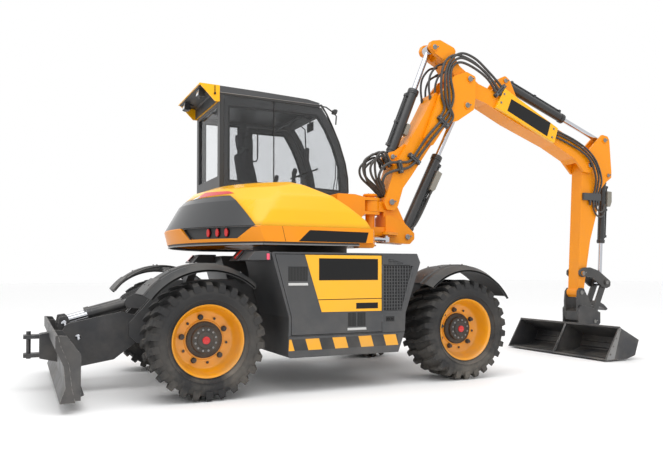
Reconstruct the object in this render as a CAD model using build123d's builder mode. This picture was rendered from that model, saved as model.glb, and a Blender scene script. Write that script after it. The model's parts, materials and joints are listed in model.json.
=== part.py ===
from build123d import *
import os
from math import cos, hypot, radians, sin

os.makedirs("parts", exist_ok=True)

# Wheeled excavator, in millimetres. X points forward along the arm, Y to the left, Z up.
# The origin is on the ground, straight under the centre of the slew ring.

# Clearances
seat_gap = 0.3         # between two pieces of one body that sit on each other
pin_gap = 0.3          # radial gap between a pin and its bore
side_gap = 5           # gap on each side of an eye between its ears
rod_gap = 0.5          # radial gap between a piston rod and its gland

# Running gear
wheelbase = 2650
front_axle_x = wheelbase / 2
rear_axle_x = -wheelbase / 2
tyre_radius = 505
tyre_width = 500
tread_depth = 34
lug_count = 26
rim_radius = 300
spindle_radius = 55
kingpin_half = 850     # from the centre plane to the kingpin
kingpin_offset = 120   # from the kingpin to the middle of a tyre
track_half = kingpin_half + kingpin_offset
kingpin_radius = 28
yoke_inside = 150      # half height between the two yoke plates
yoke_thickness = 36
axle_height = tyre_radius
axle_seat = 715        # top of the axle's pads, under the frame
guard_radius = 650     # outside of a mudguard, about the wheel's centre
guard_wall = 14
guard_inside = 720     # from the centre plane to a mudguard's inner edge
guard_width = 505
guard_lip = 100        # width of the outer strip that slopes down
guard_drop = 46        # how far it slopes down
guard_band = 12        # height of the raised band along a mudguard

# Chassis
frame_half_width = 360
frame_top = 1010
frame_front = front_axle_x + 435
frame_rear = rear_axle_x - 235
tow_x = frame_front + 90   # bore of the tow lug
tow_low = 800
tow_thickness = 40
tow_radius = 22
pedestal_radius = 560
pedestal_top = 1270
slew_ring_radius = 510
deck_bottom = 1360
housing_top = 1266
housing_bottom = 322
housing_floor = 540
housing_roof = 1235
housing_half_width = 1200
housing_inside = 405   # from the centre plane to the inner wall of a housing
housing_wall = 50

# Levelling blade
blade_pivot = (-1780, 540)
blade_half_width = 1240
blade_outline = [
    (-2490, 85), (-2375, 85), (-2400, 200), (-2420, 378), (-2480, 520), (-2500, 604),
    (-2520, 604), (-2520, 500), (-2460, 370), (-2445, 200),
]
blade_arm = [
    (-1725, 480), (-1725, 600), (-1800, 690), (-1912, 722), (-2377, 627), (-2440, 540), (-2400, 180),
    (-2255, 240), (-1977, 285), (-1800, 420),
]
blade_cylinder_foot = (-1830, 790)
blade_cylinder_y = 140
blade_arm_y = 277
blade_cylinder_eye = (-2400, 640)
blade_bracket = [
    (-1480, 700), (-1480, 900), (-1600, 900), (-1720, 760), (-1850, 620), (-1850, 500), (-1780, 430),
    (-1700, 430),
]
blade_cylinder_ear = [
    (-1540, 740), (-1540, 960), (-1640, 960), (-1850, 850), (-1880, 800), (-1850, 750), (-1700, 740),
]
blade_barrel_length = 380
blade_rod_start = 200

# Arm pins in the X-Z plane
boom_foot = (1078, 1889)
boom_cylinder_foot = (1292, 1494)
boom_head = (2149, 3429)
boom_cylinder_eye = (2108, 3103)
adjust_foot = (1120, 2420)
adjust_eye = (1676, 3766)
dipper_pivot = (4175, 2530)
dipper_cylinder_foot = (2780, 3512)
dipper_cylinder_eye = (4500, 2900)
bucket_cylinder_foot = (4560, 2418)
lever_pivot = (4050, 1070)
lever_eye = (4480, 945)
hitch_pivot = (4022, 813)
link_foot = (4236, 424)

# Swing cylinder, seen from above
swing_foot = (230, -560)
swing_eye = (930, -260)
swing_level = 1452
swing_cylinder_pin = 22

# Arm plates
boom_half = 130
cheek_inside = 137
cheek_outside = 185
intermediate_half = 128
nose_inside = 95       # inside of the fork that holds the dipper
dipper_half = 88
arm_pin = 38           # radius of the large arm pins
cylinder_pin = 30      # radius of the cylinder pins
boom_cylinder = 60     # outside radii of the cylinder barrels
adjust_cylinder = 60
dipper_cylinder = 56
bucket_cylinder = 46
ear_wall = 24          # thickness of a cylinder's ear

# Swing of the arm about its kingpost
swing_x = 870
swing_pin_radius = 55


def side_profile(points, radius, y=0):
    """A closed outline in the X-Z plane at the given Y, with rounded corners."""
    with BuildSketch(Plane.XZ.offset(-y)) as sketch:
        with BuildLine():
            FilletPolyline(*points, radius=radius, close=True)
        make_face()
    return sketch.sketch


def front_profile(points, radius, x=0):
    """A closed outline in the Y-Z plane at the given X, with rounded corners."""
    with BuildSketch(Plane.YZ.offset(x)) as sketch:
        with BuildLine():
            FilletPolyline(*points, radius=radius, close=True)
        make_face()
    return sketch.sketch


def side_disc(point, radius, y=0):
    """A disc about a pin in the X-Z plane."""
    with BuildSketch(Plane.XZ.offset(-y)) as sketch:
        with Locations(point):
            Circle(radius)
    return sketch.sketch


def export(part, name):
    part.label = name
    export_step(part, "parts/" + name + ".step")


def line_plane(foot, eye, y=0):
    """The plane at the foot whose normal points from the foot to the eye."""
    direction = Vector(eye[0] - foot[0], 0, eye[1] - foot[1]).normalized()
    return Plane(origin=(foot[0], y, foot[1]), x_dir=(0, 1, 0), z_dir=direction)


def distance(foot, eye):
    return hypot(eye[0] - foot[0], eye[1] - foot[1])


def hydraulic_barrel(foot, eye, outside, rod, length, pin, half_width, eye_radius, y=0):
    """A cylinder's tube with the eye at its closed end and a gland at its open end."""
    base = line_plane(foot, eye, y)
    start = eye_radius * 0.8
    with BuildPart() as barrel:
        with BuildSketch(base.offset(start)):
            Circle(outside)
        extrude(amount=length - start)
        with BuildSketch(base.offset(length - outside * 0.9)):
            Circle(outside * 1.12)
        extrude(amount=outside * 0.9)
        extrude(side_disc(foot, eye_radius, y), amount=half_width, both=True)
        with BuildSketch(base.offset(start + outside * 0.6)):
            Circle(rod + rod_gap)
        extrude(amount=length, mode=Mode.SUBTRACT)
        extrude(side_disc(foot, pin + pin_gap, y), amount=half_width, both=True, mode=Mode.SUBTRACT)
    return barrel.part


def hydraulic_rod(foot, eye, outside, rod, inside, pin, half_width, eye_radius, pin_half, y=0):
    """A piston rod with its eye and the short pin that the eye carries."""
    base = line_plane(foot, eye, y)
    span = distance(foot, eye)
    start = inside
    with BuildPart() as piston:
        with BuildSketch(base.offset(start)):
            Circle(rod)
        extrude(amount=span - start)
        extrude(side_disc(eye, eye_radius, y), amount=half_width, both=True)
        extrude(side_disc(eye, pin, y), amount=pin_half, both=True)
    return piston.part


# Chassis frame: a deep centre beam that rises over the axles and carries the slew pedestal
with BuildPart() as chassis_frame:
    frame_outline = [
        (frame_rear, 740), (frame_rear, 970), (frame_rear + 60, frame_top), (frame_front - 260, frame_top),
        (frame_front, 960), (frame_front, 760), (front_axle_x + 105, axle_seat + seat_gap),
        (front_axle_x - 105, axle_seat + seat_gap), (front_axle_x - 505, 700), (front_axle_x - 705, 470),
        (rear_axle_x + 705, 470), (rear_axle_x + 505, 700), (rear_axle_x + 105, axle_seat + seat_gap),
        (rear_axle_x - 105, axle_seat + seat_gap),
    ]
    extrude(side_profile(frame_outline, 20), amount=frame_half_width, both=True)
    with BuildSketch(Plane.XY.offset(frame_top - 1)):
        Circle(pedestal_radius)
    extrude(amount=pedestal_top - frame_top + 1)
    # carriers that hold the two side housings
    with BuildSketch(Plane.XY.offset(560)):
        Rectangle(900, 2 * housing_inside)
    extrude(amount=120)
    # blade brackets at the rear, with the pins of the blade's arms and of its lift cylinders
    for side in (-1, 1):
        for bracket_y in (blade_arm_y - 52, blade_arm_y + 52):
            extrude(side_profile(blade_bracket, 20, side * bracket_y), amount=24, both=True)
        extrude(side_disc(blade_pivot, 30, side * blade_arm_y), amount=70, both=True)
        for ear_y in (blade_cylinder_y - 58, blade_cylinder_y + 58):
            extrude(side_profile(blade_cylinder_ear, 20, side * ear_y), amount=6, both=True)
        extrude(side_disc(blade_cylinder_foot, 22, side * blade_cylinder_y), amount=64, both=True)
    # mudguard stays, one up to the crown of each guard
    stay_top = axle_height + guard_radius - guard_wall - 1.3
    for stay_x in (rear_axle_x, front_axle_x):
        for side in (-1, 1):
            stay = [
                (side * 330, 960), (side * 330, 1010), (side * 640, stay_top), (side * 800, stay_top),
                (side * 800, stay_top - 26), (side * 660, stay_top - 36), (side * 420, 960),
            ]
            extrude(front_profile(stay, 0, stay_x), amount=35, both=True)
    # tow lug at the front, with an upright bore
    with BuildSketch(Plane.XY.offset(tow_low)):
        with Locations((frame_front + 25, 0)):
            Rectangle(90, 130)
        with Locations((tow_x, 0)):
            Circle(65)
    extrude(amount=tow_thickness)
    with BuildSketch(Plane.XY.offset(tow_low - 10)):
        with Locations((tow_x, 0)):
            Circle(tow_radius)
    extrude(amount=tow_thickness + 20, mode=Mode.SUBTRACT)
export(chassis_frame.part, "chassis_frame")

with BuildPart() as slew_ring:
    with BuildSketch(Plane.XY.offset(pedestal_top)):
        Circle(slew_ring_radius)
    extrude(amount=deck_bottom - pedestal_top)
export(slew_ring.part, "slew_ring")

# Side housings between the wheels: narrower below, with a sill under the panels
housing_outline = [
    (rear_axle_x + 555, housing_top - 14), (rear_axle_x + 570, housing_top), (front_axle_x - 590, housing_top),
    (front_axle_x - 553, 1180), (front_axle_x - 723, 696), (front_axle_x - 731, 515),
    (front_axle_x - 805, housing_bottom), (rear_axle_x + 735, housing_bottom), (rear_axle_x + 713, 350),
    (rear_axle_x + 719, 684),
]
sill_top = 508
sill_groove = 10       # width and depth of the groove over the sill
door_gap = 6
door_thickness = 30
door_front = 338
door_high = housing_top - 21
door_low = 526
engine_door_outline = [
    (rear_axle_x + 590, door_high), (door_front, door_high), (door_front, door_low),
    (rear_axle_x + 745, door_low), (rear_axle_x + 745, 690),
]
pocket_depth = 16      # of the handle pockets in the door
handle_pockets = [
    # rear, front, low, high
    (-575, -425, 1010, 1136),
    (-21, 66, 584, 708),
    (77, 164, 584, 708),
]
grille_recess = 14
grille_outline = [(358, 1238), (front_axle_x - 620, 1140), (front_axle_x - 748, 718), (358, 718)]
latch_box = (378, 478, 606, 676)   # rear, front, low, high
lamp_box_outline = [
    (rear_axle_x + 315, 1190), (rear_axle_x + 395, 1285), (rear_axle_x + 575, 1285), (rear_axle_x + 600, 1190),
]
lamp_box_y = (700, 960)


def wall_rectangle(rear, front, low, high, y):
    """A rectangle in the X-Z plane at the given Y."""
    with BuildSketch(Plane.XZ.offset(-y)) as sketch:
        with Locations(((rear + front) / 2, (low + high) / 2)):
            Rectangle(front - rear, high - low)
    return sketch.sketch


def lamp_box(side):
    """The box over a rear mudguard that carries the chassis lamp."""
    middle = side * (lamp_box_y[0] + lamp_box_y[1]) / 2
    with BuildPart() as box:
        box_half = (lamp_box_y[1] - lamp_box_y[0]) / 2
        extrude(side_profile(lamp_box_outline, 0, middle), amount=box_half, both=True)
    return box.part


with BuildPart() as engine_housing:
    extrude(
        side_profile(housing_outline, 8, -housing_inside), amount=housing_half_width - housing_inside
    )
    with BuildSketch(Plane.XZ.offset(housing_inside + 20)):
        with BuildLine():
            FilletPolyline(
                (rear_axle_x + 625, housing_roof), (front_axle_x - 625, housing_roof),
                (front_axle_x - 765, 700), (front_axle_x - 775, housing_floor),
                (rear_axle_x + 755, housing_floor), (rear_axle_x + 750, 700),
                radius=20, close=True,
            )
        make_face()
    extrude(amount=housing_half_width - housing_inside - 20 - housing_wall, mode=Mode.SUBTRACT)
    # doorway to the engine
    with BuildSketch(Plane.XZ.offset(housing_half_width - housing_wall - 10)):
        with BuildLine():
            Polyline(*engine_door_outline, close=True)
        make_face()
        offset(amount=door_gap, kind=Kind.INTERSECTION)
    extrude(amount=housing_wall + 20, mode=Mode.SUBTRACT)
    # groove over the sill, the grille's recess and the latch
    groove = wall_rectangle(
        rear_axle_x + 600, front_axle_x - 600, sill_top, sill_top + sill_groove, -housing_half_width
    )
    extrude(groove, amount=-sill_groove, mode=Mode.SUBTRACT)
    extrude(side_profile(grille_outline, 12, -housing_half_width), amount=-grille_recess, mode=Mode.SUBTRACT)
    extrude(wall_rectangle(*latch_box, -housing_half_width), amount=-grille_recess, mode=Mode.SUBTRACT)
    add(lamp_box(-1))
    with BuildSketch(Plane.XY.offset(frame_top - 5)):
        Circle(pedestal_radius + 5)
    extrude(amount=400, mode=Mode.SUBTRACT)
export(engine_housing.part, "engine_housing")

# Slatted grille in the housing's recess, and the latch beside the door
slat_count = 12
with BuildPart() as side_grille:
    frame_face = side_profile(grille_outline, 12, -(housing_half_width - grille_recess + seat_gap))
    extrude(frame_face, amount=4)
    grille_low = grille_outline[3][1] + 22
    grille_step = (grille_outline[1][1] - grille_low) / slat_count
    for slat in range(slat_count):
        slat_z = grille_low + slat * grille_step
        slat_front = grille_outline[2][0] + (slat_z - grille_outline[2][1]) * 0.303 - 22
        extrude(
            wall_rectangle(grille_outline[0][0] + 12, slat_front, slat_z, slat_z + 14, -(housing_half_width - 9)),
            amount=7,
        )
    latch_inside = (latch_box[0] + 3, latch_box[1] - 3, latch_box[2] + 3, latch_box[3] - 3)
    extrude(wall_rectangle(*latch_inside, -(housing_half_width - grille_recess + seat_gap)), amount=8)
    latch_lever = (latch_box[0] + 22, latch_box[1] - 18, latch_box[2] + 26, latch_box[3] - 22)
    extrude(wall_rectangle(*latch_lever, -(housing_half_width - 7)), amount=7)
export(side_grille.part, "side_grille")

with BuildPart() as engine_door:
    with BuildSketch(Plane.XZ.offset(housing_half_width - door_thickness)):
        with BuildLine():
            Polyline(*engine_door_outline, close=True)
        make_face()
    extrude(amount=door_thickness)
    # hinge lugs at the front edge
    with BuildSketch(Plane.XZ.offset(housing_half_width - door_thickness)):
        lug_x = door_front + (door_gap - seat_gap) / 2 - 5
        with Locations((lug_x, door_low + 130), (lug_x, door_high - 130)):
            Rectangle(door_gap - seat_gap + 10, 80)
    extrude(amount=door_thickness)
    for pocket in handle_pockets:
        extrude(wall_rectangle(*pocket, -housing_half_width), amount=-pocket_depth, mode=Mode.SUBTRACT)
export(engine_door.part, "engine_door")

engine_half_depth = (housing_half_width - housing_inside) / 2 - 117
engine_y = housing_inside + 20 + 40 + engine_half_depth
with BuildPart() as engine_block:
    with BuildSketch(Plane.XY.offset(housing_floor + 5)):
        with Locations((-20, -engine_y)):
            Rectangle(820, 2 * engine_half_depth)
    extrude(amount=450)
    # feet on the housing's floor
    with BuildSketch(Plane.XY.offset(housing_floor)):
        with Locations((-320, -engine_y), (280, -engine_y)):
            Rectangle(80, 2 * engine_half_depth - 60)
    extrude(amount=5)
export(engine_block.part, "engine_block")

step_depth = 160
with BuildPart() as tank_housing:
    extrude(
        side_profile(housing_outline, 8, housing_inside), amount=-(housing_half_width - housing_inside)
    )
    # two steps cut into the side below the cab door
    for step_z in (470, 760):
        with BuildSketch(Plane.XY.offset(step_z)):
            with Locations((120, housing_half_width - step_depth / 2 + 20)):
                Rectangle(420, step_depth + 40)
        extrude(amount=210, mode=Mode.SUBTRACT)
    add(lamp_box(1))
    with BuildSketch(Plane.XY.offset(frame_top - 5)):
        Circle(pedestal_radius + 5)
    extrude(amount=400, mode=Mode.SUBTRACT)
export(tank_housing.part, "tank_housing")

# Rear lamps of the chassis, one on the end of each lamp box
with BuildPart() as chassis_lamps:
    for side in (-1, 1):
        lamp_face = [
            (rear_axle_x + 318, 1205), (rear_axle_x + 378, 1274), (rear_axle_x + 362, 1280),
            (rear_axle_x + 304, 1212),
        ]
        shifted = [(x - 12, z + 10) for x, z in lamp_face]
        extrude(side_profile(shifted, 0, side * (lamp_box_y[1] - 40)), amount=30, both=True)
export(chassis_lamps.part, "chassis_lamps")

# Axles: a beam with a final drive in the middle and a yoke at each end
axle_beam_radius = 95
for axle_name, axle_x in (("axle_rear", rear_axle_x), ("axle_front", front_axle_x)):
    with BuildPart() as axle:
        with BuildSketch(Plane.XZ):
            with Locations((axle_x, axle_height)):
                Circle(axle_beam_radius)
        extrude(amount=kingpin_half - 190, both=True)
        with BuildSketch(Plane.XZ):
            with Locations((axle_x, axle_height)):
                Circle(190)
        extrude(amount=150, both=True)
        # pads up to the frame
        with BuildSketch(Plane.XY.offset(axle_height + 60)):
            with Locations((axle_x, 250), (axle_x, -250)):
                Rectangle(150, 90)
        extrude(amount=axle_seat - axle_height - 60)
        for side in (-1, 1):
            with BuildSketch(Plane.XZ.offset(-side * (kingpin_half - 200))):
                with Locations((axle_x, axle_height)):
                    Rectangle(150, 2 * (yoke_inside + yoke_thickness))
            extrude(amount=-side * 45)
            for level in (-1, 1):
                middle = level * (yoke_inside + yoke_thickness / 2)
                with BuildSketch(Plane.XY.offset(axle_height + middle - yoke_thickness / 2)):
                    with Locations((axle_x, side * (kingpin_half - 95))):
                        Rectangle(130, 190)
                    with Locations((axle_x, side * kingpin_half)):
                        Circle(65)
                extrude(amount=yoke_thickness)
            with BuildSketch(Plane.XY.offset(axle_height - 250)):
                with Locations((axle_x, side * kingpin_half)):
                    Circle(kingpin_radius + pin_gap)
            extrude(amount=500, mode=Mode.SUBTRACT)
    export(axle.part, axle_name)

# Wheels, their rims and the steering knuckles; sides are named from the driver's seat
wheel_places = [
    # name, along, side
    ("front_left", front_axle_x, 1),
    ("front_right", front_axle_x, -1),
    ("rear_left", rear_axle_x, 1),
    ("rear_right", rear_axle_x, -1),
]
carcass_radius = tyre_radius - tread_depth
half_tyre = tyre_width / 2


def lug_outline(shift):
    """A toothed outline: one lug for each step, with straight flanks."""
    points = []
    step = 360 / lug_count
    for lug in range(lug_count):
        for radius, angle in (
            (carcass_radius, 0.0), (tyre_radius, 0.08), (tyre_radius, 0.42), (carcass_radius, 0.50)
        ):
            turn = radians((lug + angle + shift) * step)
            points.append((radius * cos(turn), radius * sin(turn)))
    return points


for wheel_name, wheel_x, side in wheel_places:
    hub_plane = Plane(origin=(wheel_x, side * track_half, axle_height), x_dir=(1, 0, 0), z_dir=(0, side, 0))
    turning = Axis((wheel_x, side * track_half, axle_height), (0, side, 0))
    section = Plane(origin=(wheel_x, side * track_half, axle_height), x_dir=(0, side, 0), z_dir=(1, 0, 0))
    with BuildPart() as tyre:
        with BuildSketch(section):
            with BuildLine():
                Polyline(
                    (-210, rim_radius), (-half_tyre + 8, 400), (-half_tyre + 20, carcass_radius - 4),
                    (half_tyre - 20, carcass_radius - 4), (half_tyre - 8, 400), (210, rim_radius),
                    close=True,
                )
            make_face()
        revolve(axis=turning)
        for row, shift in ((-1, 0.0), (1, 0.5)):
            with BuildSketch(hub_plane.offset(20 if row > 0 else -half_tyre)):
                with BuildLine():
                    Polyline(*lug_outline(shift), close=True)
                make_face()
                Circle(carcass_radius - 30, mode=Mode.SUBTRACT)
            extrude(amount=half_tyre - 20)
    export(tyre.part, "tyre_" + wheel_name)

    with BuildPart() as rim:
        with BuildSketch(section):
            with BuildLine():
                Polyline(
                    (-210, rim_radius - 40), (-210, rim_radius - pin_gap), (210, rim_radius - pin_gap),
                    (216, rim_radius - pin_gap - 2), (216, rim_radius - 20), (150, rim_radius - 40),
                    (60, 240), (40, 130), (100, 130), (110, 60), (110, 0), (80, 0),
                    (80, spindle_radius + pin_gap), (10, spindle_radius + pin_gap),
                    (10, 215), (30, rim_radius - 40), close=True,
                )
            make_face()
        revolve(axis=turning)
    export(rim.part, "rim_" + wheel_name)

    with BuildPart() as knuckle:
        with BuildSketch(hub_plane.offset(kingpin_half - track_half - 70)):
            Circle(125)
        extrude(amount=185)
        with BuildSketch(hub_plane.offset(-10)):
            Circle(spindle_radius)
        extrude(amount=88)
        with BuildSketch(Plane.XY.offset(axle_height - yoke_inside - yoke_thickness)):
            with Locations((wheel_x, side * kingpin_half)):
                Circle(kingpin_radius)
        extrude(amount=2 * (yoke_inside + yoke_thickness))
    export(knuckle.part, "knuckle_" + wheel_name)

# Mudguards: a channel bent over each wheel, longer towards its end of the machine, with a raised band
guard_places = [
    # name, wheel's X, angle at the rear and at the front, both from the front horizon
    ("rear_mudguards", rear_axle_x, 143.5, 48),
    ("front_mudguards", front_axle_x, 134.3, 31),
]
for guard_name, guard_x, rear_angle, front_angle in guard_places:
    reach = (cos(radians(rear_angle)), sin(radians(rear_angle)))
    guard_section = Plane(origin=(guard_x, 0, axle_height), x_dir=(0, 1, 0), z_dir=(reach[1], 0, -reach[0]))
    outer_edge = guard_inside + guard_width
    with BuildPart() as mudguards:
        for side in (-1, 1):
            with BuildSketch(guard_section):
                with BuildLine():
                    Polyline(*[(side * y, r) for y, r in (
                        (guard_inside, guard_radius - guard_wall), (guard_inside, guard_radius),
                        (guard_inside + 130, guard_radius), (guard_inside + 142, guard_radius + guard_band),
                        (guard_inside + 330, guard_radius + guard_band), (guard_inside + 342, guard_radius),
                        (outer_edge - guard_lip, guard_radius), (outer_edge, guard_radius - guard_drop),
                        (outer_edge, guard_radius - guard_drop - guard_wall),
                        (outer_edge - guard_lip, guard_radius - guard_wall),
                    )], close=True)
                make_face()
            revolve(axis=Axis((guard_x, 0, axle_height), (0, 1, 0)), revolution_arc=rear_angle - front_angle)
    export(mudguards.part, guard_name)

# Levelling blade with its two arms, and the two short cylinders that lift it
with BuildPart() as blade:
    extrude(side_profile(blade_outline, 4), amount=blade_half_width, both=True)
    # foot of the board, seen from the machine
    extrude(
        side_profile([(-2375, 90), (-2300, 120), (-2400, 420), (-2440, 420), (-2430, 90)], 6),
        amount=blade_half_width - 120, both=True,
    )
    for arm_side in (-1, 1):
        extrude(side_profile(blade_arm, 20, arm_side * blade_arm_y), amount=22, both=True)
        extrude(side_disc(blade_pivot, 58, arm_side * blade_arm_y), amount=22, both=True)
        extrude(
            side_disc(blade_pivot, 30 + pin_gap, arm_side * blade_arm_y),
            amount=22, both=True, mode=Mode.SUBTRACT,
        )
        # ears for the lift cylinder
        for ear_side in (-1, 1):
            ear_y = arm_side * blade_cylinder_y + ear_side * 58
            ear = [
                (-2330, 330), (-2440, 380), (-2455, 600), (-2440, 680), (-2370, 690), (-2340, 600),
            ]
            extrude(side_profile(ear, 15, ear_y), amount=6, both=True)
    with BuildSketch(Plane.XZ):
        with Locations((-2330, 300)):
            Rectangle(140, 90)
    extrude(amount=blade_arm_y, both=True)
    # end plates and ribs on the board's back
    for rib_side in (-1, 1):
        for rib_y in (blade_half_width - 12, blade_half_width * 0.55):
            rib = [
                (-2400, 100), (-2335, 100), (-2335, 455), (-2440, 600), (-2515, 606), (-2500, 560),
                (-2430, 380),
            ]
            extrude(side_profile(rib, 4, rib_side * rib_y), amount=8, both=True)
    # coupling with an upright pin at the middle of the board
    extrude(side_profile([(-2440, 260), (-2600, 300), (-2600, 520), (-2480, 540)], 6), amount=80, both=True)
    for jaw_low in (310, 480):
        jaw = [(-2560, jaw_low), (-2560, jaw_low + 34), (-2735, jaw_low + 34), (-2735, jaw_low)]
        extrude(side_profile(jaw, 8), amount=65, both=True)
    with BuildSketch(Plane.XY.offset(296)):
        with Locations((-2690, 0)):
            Circle(20)
    extrude(amount=250)
export(blade.part, "blade")

with BuildPart() as blade_barrels:
    for side in (-1, 1):
        add(hydraulic_barrel(
            blade_cylinder_foot, blade_cylinder_eye, 48, 28, blade_barrel_length, 22, 40, 48,
            side * blade_cylinder_y,
        ))
export(blade_barrels.part, "blade_barrels")

with BuildPart() as blade_rods:
    for side in (-1, 1):
        add(hydraulic_rod(
            blade_cylinder_foot, blade_cylinder_eye, 48, 28, blade_rod_start, 22, 40, 42, 46,
            side * blade_cylinder_y,
        ))
export(blade_rods.part, "blade_rods")

# Upper structure: deck plate with the tail, and the fork that carries the kingpost
tail_radius = 1440
deck_top = 1500
deck_side = 1150
tail_x = -(tail_radius ** 2 - deck_side ** 2) ** 0.5
fork_plates = [(1740, 1775), (1900, 1935), (1430, 1500)]
fork_half = 112
kingpost_tongue = (1778, 1897)
kingpost_lug = (1503, 1600)
deck_front_corner = [(275, -deck_side), (575, -640), (690, -400), (735, -250)]
# the tail's outline, turned about the slew axis: how far it stands back from the tail's radius, height
tail_slope = [(38, 1300), (32, deck_bottom), (0, deck_top - 8), (143, 1745), (275, 1875), (460, 1940)]
lamp_recess_depth = 50
lamp_recess = [(-368, 1500), (-490, 1390), (-985, 1390), (-1121, 1500), (-1121, 1520), (-368, 1520)]


def tail_form():
    """The turned form that everything on the tail stays inside."""
    with BuildPart() as form:
        with BuildSketch(Plane.XZ):
            with BuildLine():
                Polyline(
                    (0, 1300), *[(tail_radius - back, z) for back, z in tail_slope], (0, 2015), close=True
                )
            make_face()
        revolve(axis=Axis.Z)
    return form.part


def recess_form(side):
    """What is cut from the tail for one group of lamps."""
    with BuildPart() as form:
        with BuildSketch(Plane.YZ.offset(-tail_radius - 20)):
            with BuildLine():
                Polyline(*[(side * -y, z) for y, z in lamp_recess], close=True)
            make_face()
        extrude(amount=tail_radius)
        with BuildSketch(Plane.XY.offset(deck_bottom)):
            Circle(tail_radius - lamp_recess_depth)
        extrude(amount=400, mode=Mode.SUBTRACT)
    return form.part


with BuildPart() as deck:
    with BuildSketch(Plane.XY.offset(deck_bottom)):
        with BuildLine():
            ThreePointArc((tail_x, -deck_side), (-tail_radius, 0), (tail_x, deck_side))
            Polyline(
                (tail_x, -deck_side), *deck_front_corner, (735, 160), (690, 200), (690, deck_side),
                (tail_x, deck_side),
            )
        make_face()
    extrude(amount=deck_top - deck_bottom)
    add(tail_form(), mode=Mode.INTERSECT)
    for side in (-1, 1):
        add(recess_form(side), mode=Mode.SUBTRACT)
    # pocket for the swing cylinder, open at the front, with the cylinder's foot pin
    with BuildSketch(Plane.XY.offset(deck_bottom + 42)):
        with Locations((460, -364)):
            Rectangle(600, 504)
    extrude(amount=deck_top - deck_bottom, mode=Mode.SUBTRACT)
    with BuildSketch(Plane.XY.offset(deck_bottom + 40)):
        with Locations(swing_foot):
            Circle(swing_cylinder_pin)
    extrude(amount=deck_top - deck_bottom - 42)
    # the nose that carries the fork
    nose = [
        (400, deck_top - 10), (400, 1960), (620, 1960), (745, 1935), (745, 1745), (600, 1600),
        (600, deck_top - 10),
    ]
    extrude(side_profile(nose, 12, 0), amount=fork_half, both=True)
    for low, high in fork_plates:
        with BuildSketch(Plane.XY.offset(low)):
            with Locations((swing_x, 0)):
                Circle(fork_half)
            with Locations(((590 + swing_x) / 2, 0)):
                Rectangle(swing_x - 590, 2 * fork_half)
        extrude(amount=high - low)
    with BuildSketch(Plane.XY.offset(1400)):
        with Locations((swing_x, 0)):
            Circle(swing_pin_radius)
    extrude(amount=560)
export(deck.part, "deck")

# Tail lamps, three ovals in each recess
lamp_angles = (30.8, 35.2, 39.3)   # from straight back
lamp_level = 1445
with BuildPart() as tail_lamps:
    for side in (-1, 1):
        for lamp_angle in lamp_angles:
            turn = radians(180 + side * lamp_angle)
            face = Plane(
                origin=(0, 0, lamp_level), x_dir=(-sin(turn), cos(turn), 0), z_dir=(cos(turn), sin(turn), 0)
            )
            with BuildSketch(face.offset(tail_radius - lamp_recess_depth + seat_gap)):
                Ellipse(17, 36)
            extrude(amount=26)
export(tail_lamps.part, "tail_lamps")

# Hood over the right side and the tail: it falls towards the front, leans in at the side and tail,
# and is cut away for the fork's nose and the counterweight panel
hood_base = deck_top + seat_gap
hood_inner_side = 170
hood_section = [
    (-1152, 1300), (-1152, 1500), (-1125, 1650), (-1060, 1800), (-950, 1910), (-800, 1960), (-500, 1990),
    (500, 2010), (800, 1980), (950, 1920), (1060, 1800), (1125, 1650), (1152, 1500), (1152, 1300),
]
hood_slope_angle = 30   # turns the front slope towards the right, seen from above
hood_slope = [
    # along the slope's own direction, height
    (-2400, 1300), (-2400, 1990), (-729, 1990), (-397, 1900), (-140, 1800), (11, 1700), (171, 1575),
    (227, 1488), (240, 1300),
]
panel_profile = [(-1500, 1400), (-1500, 1800), (-1005, 1800), (-890, hood_base), (-890, 1400)]
panel_gap = 3
with BuildPart() as hood:
    with BuildSketch(Plane.XY.offset(hood_base)):
        with BuildLine():
            ThreePointArc((tail_x, -deck_side), (-tail_radius, 0), (tail_x, deck_side))
            Polyline(
                (tail_x, -deck_side), (265, -deck_side), (560, -640), (670, -400), (670, -340), (600, -270),
                (600, -125), (390, -125), (390, hood_inner_side), (-875, hood_inner_side),
                (tail_x - 8, deck_side - 60), (tail_x, deck_side),
            )
        make_face()
    extrude(amount=620)
    add(tail_form(), mode=Mode.INTERSECT)
    extrude(front_profile(hood_section, 40, -1500), amount=2400, mode=Mode.INTERSECT)
    slope_turn = radians(hood_slope_angle)
    slope_plane = Plane(
        origin=(0, -deck_side, 0), x_dir=(cos(slope_turn), -sin(slope_turn), 0),
        z_dir=(-sin(slope_turn), -cos(slope_turn), 0),
    )
    with BuildSketch(slope_plane):
        with BuildLine():
            FilletPolyline(*hood_slope, radius=40, close=True)
        make_face()
    extrude(amount=3200, both=True, mode=Mode.INTERSECT)
    extrude(side_profile(panel_profile, 0), amount=1300, both=True, mode=Mode.SUBTRACT)
export(hood.part, "hood")

with BuildPart() as counterweight:
    with BuildSketch(Plane.XY.offset(hood_base)):
        Circle(tail_radius)
    extrude(amount=400)
    add(tail_form(), mode=Mode.INTERSECT)
    extrude(front_profile(hood_section, 40, -1500), amount=2400, mode=Mode.INTERSECT)
    with BuildSketch(Plane.XZ):
        with BuildLine():
            Polyline(*panel_profile, close=True)
        make_face()
        offset(amount=-panel_gap, kind=Kind.INTERSECTION)
        with Locations((-1195, hood_base - 50)):
            Rectangle(620, 100, mode=Mode.SUBTRACT)
    extrude(amount=1300, both=True, mode=Mode.INTERSECT)
export(counterweight.part, "counterweight")

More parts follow.
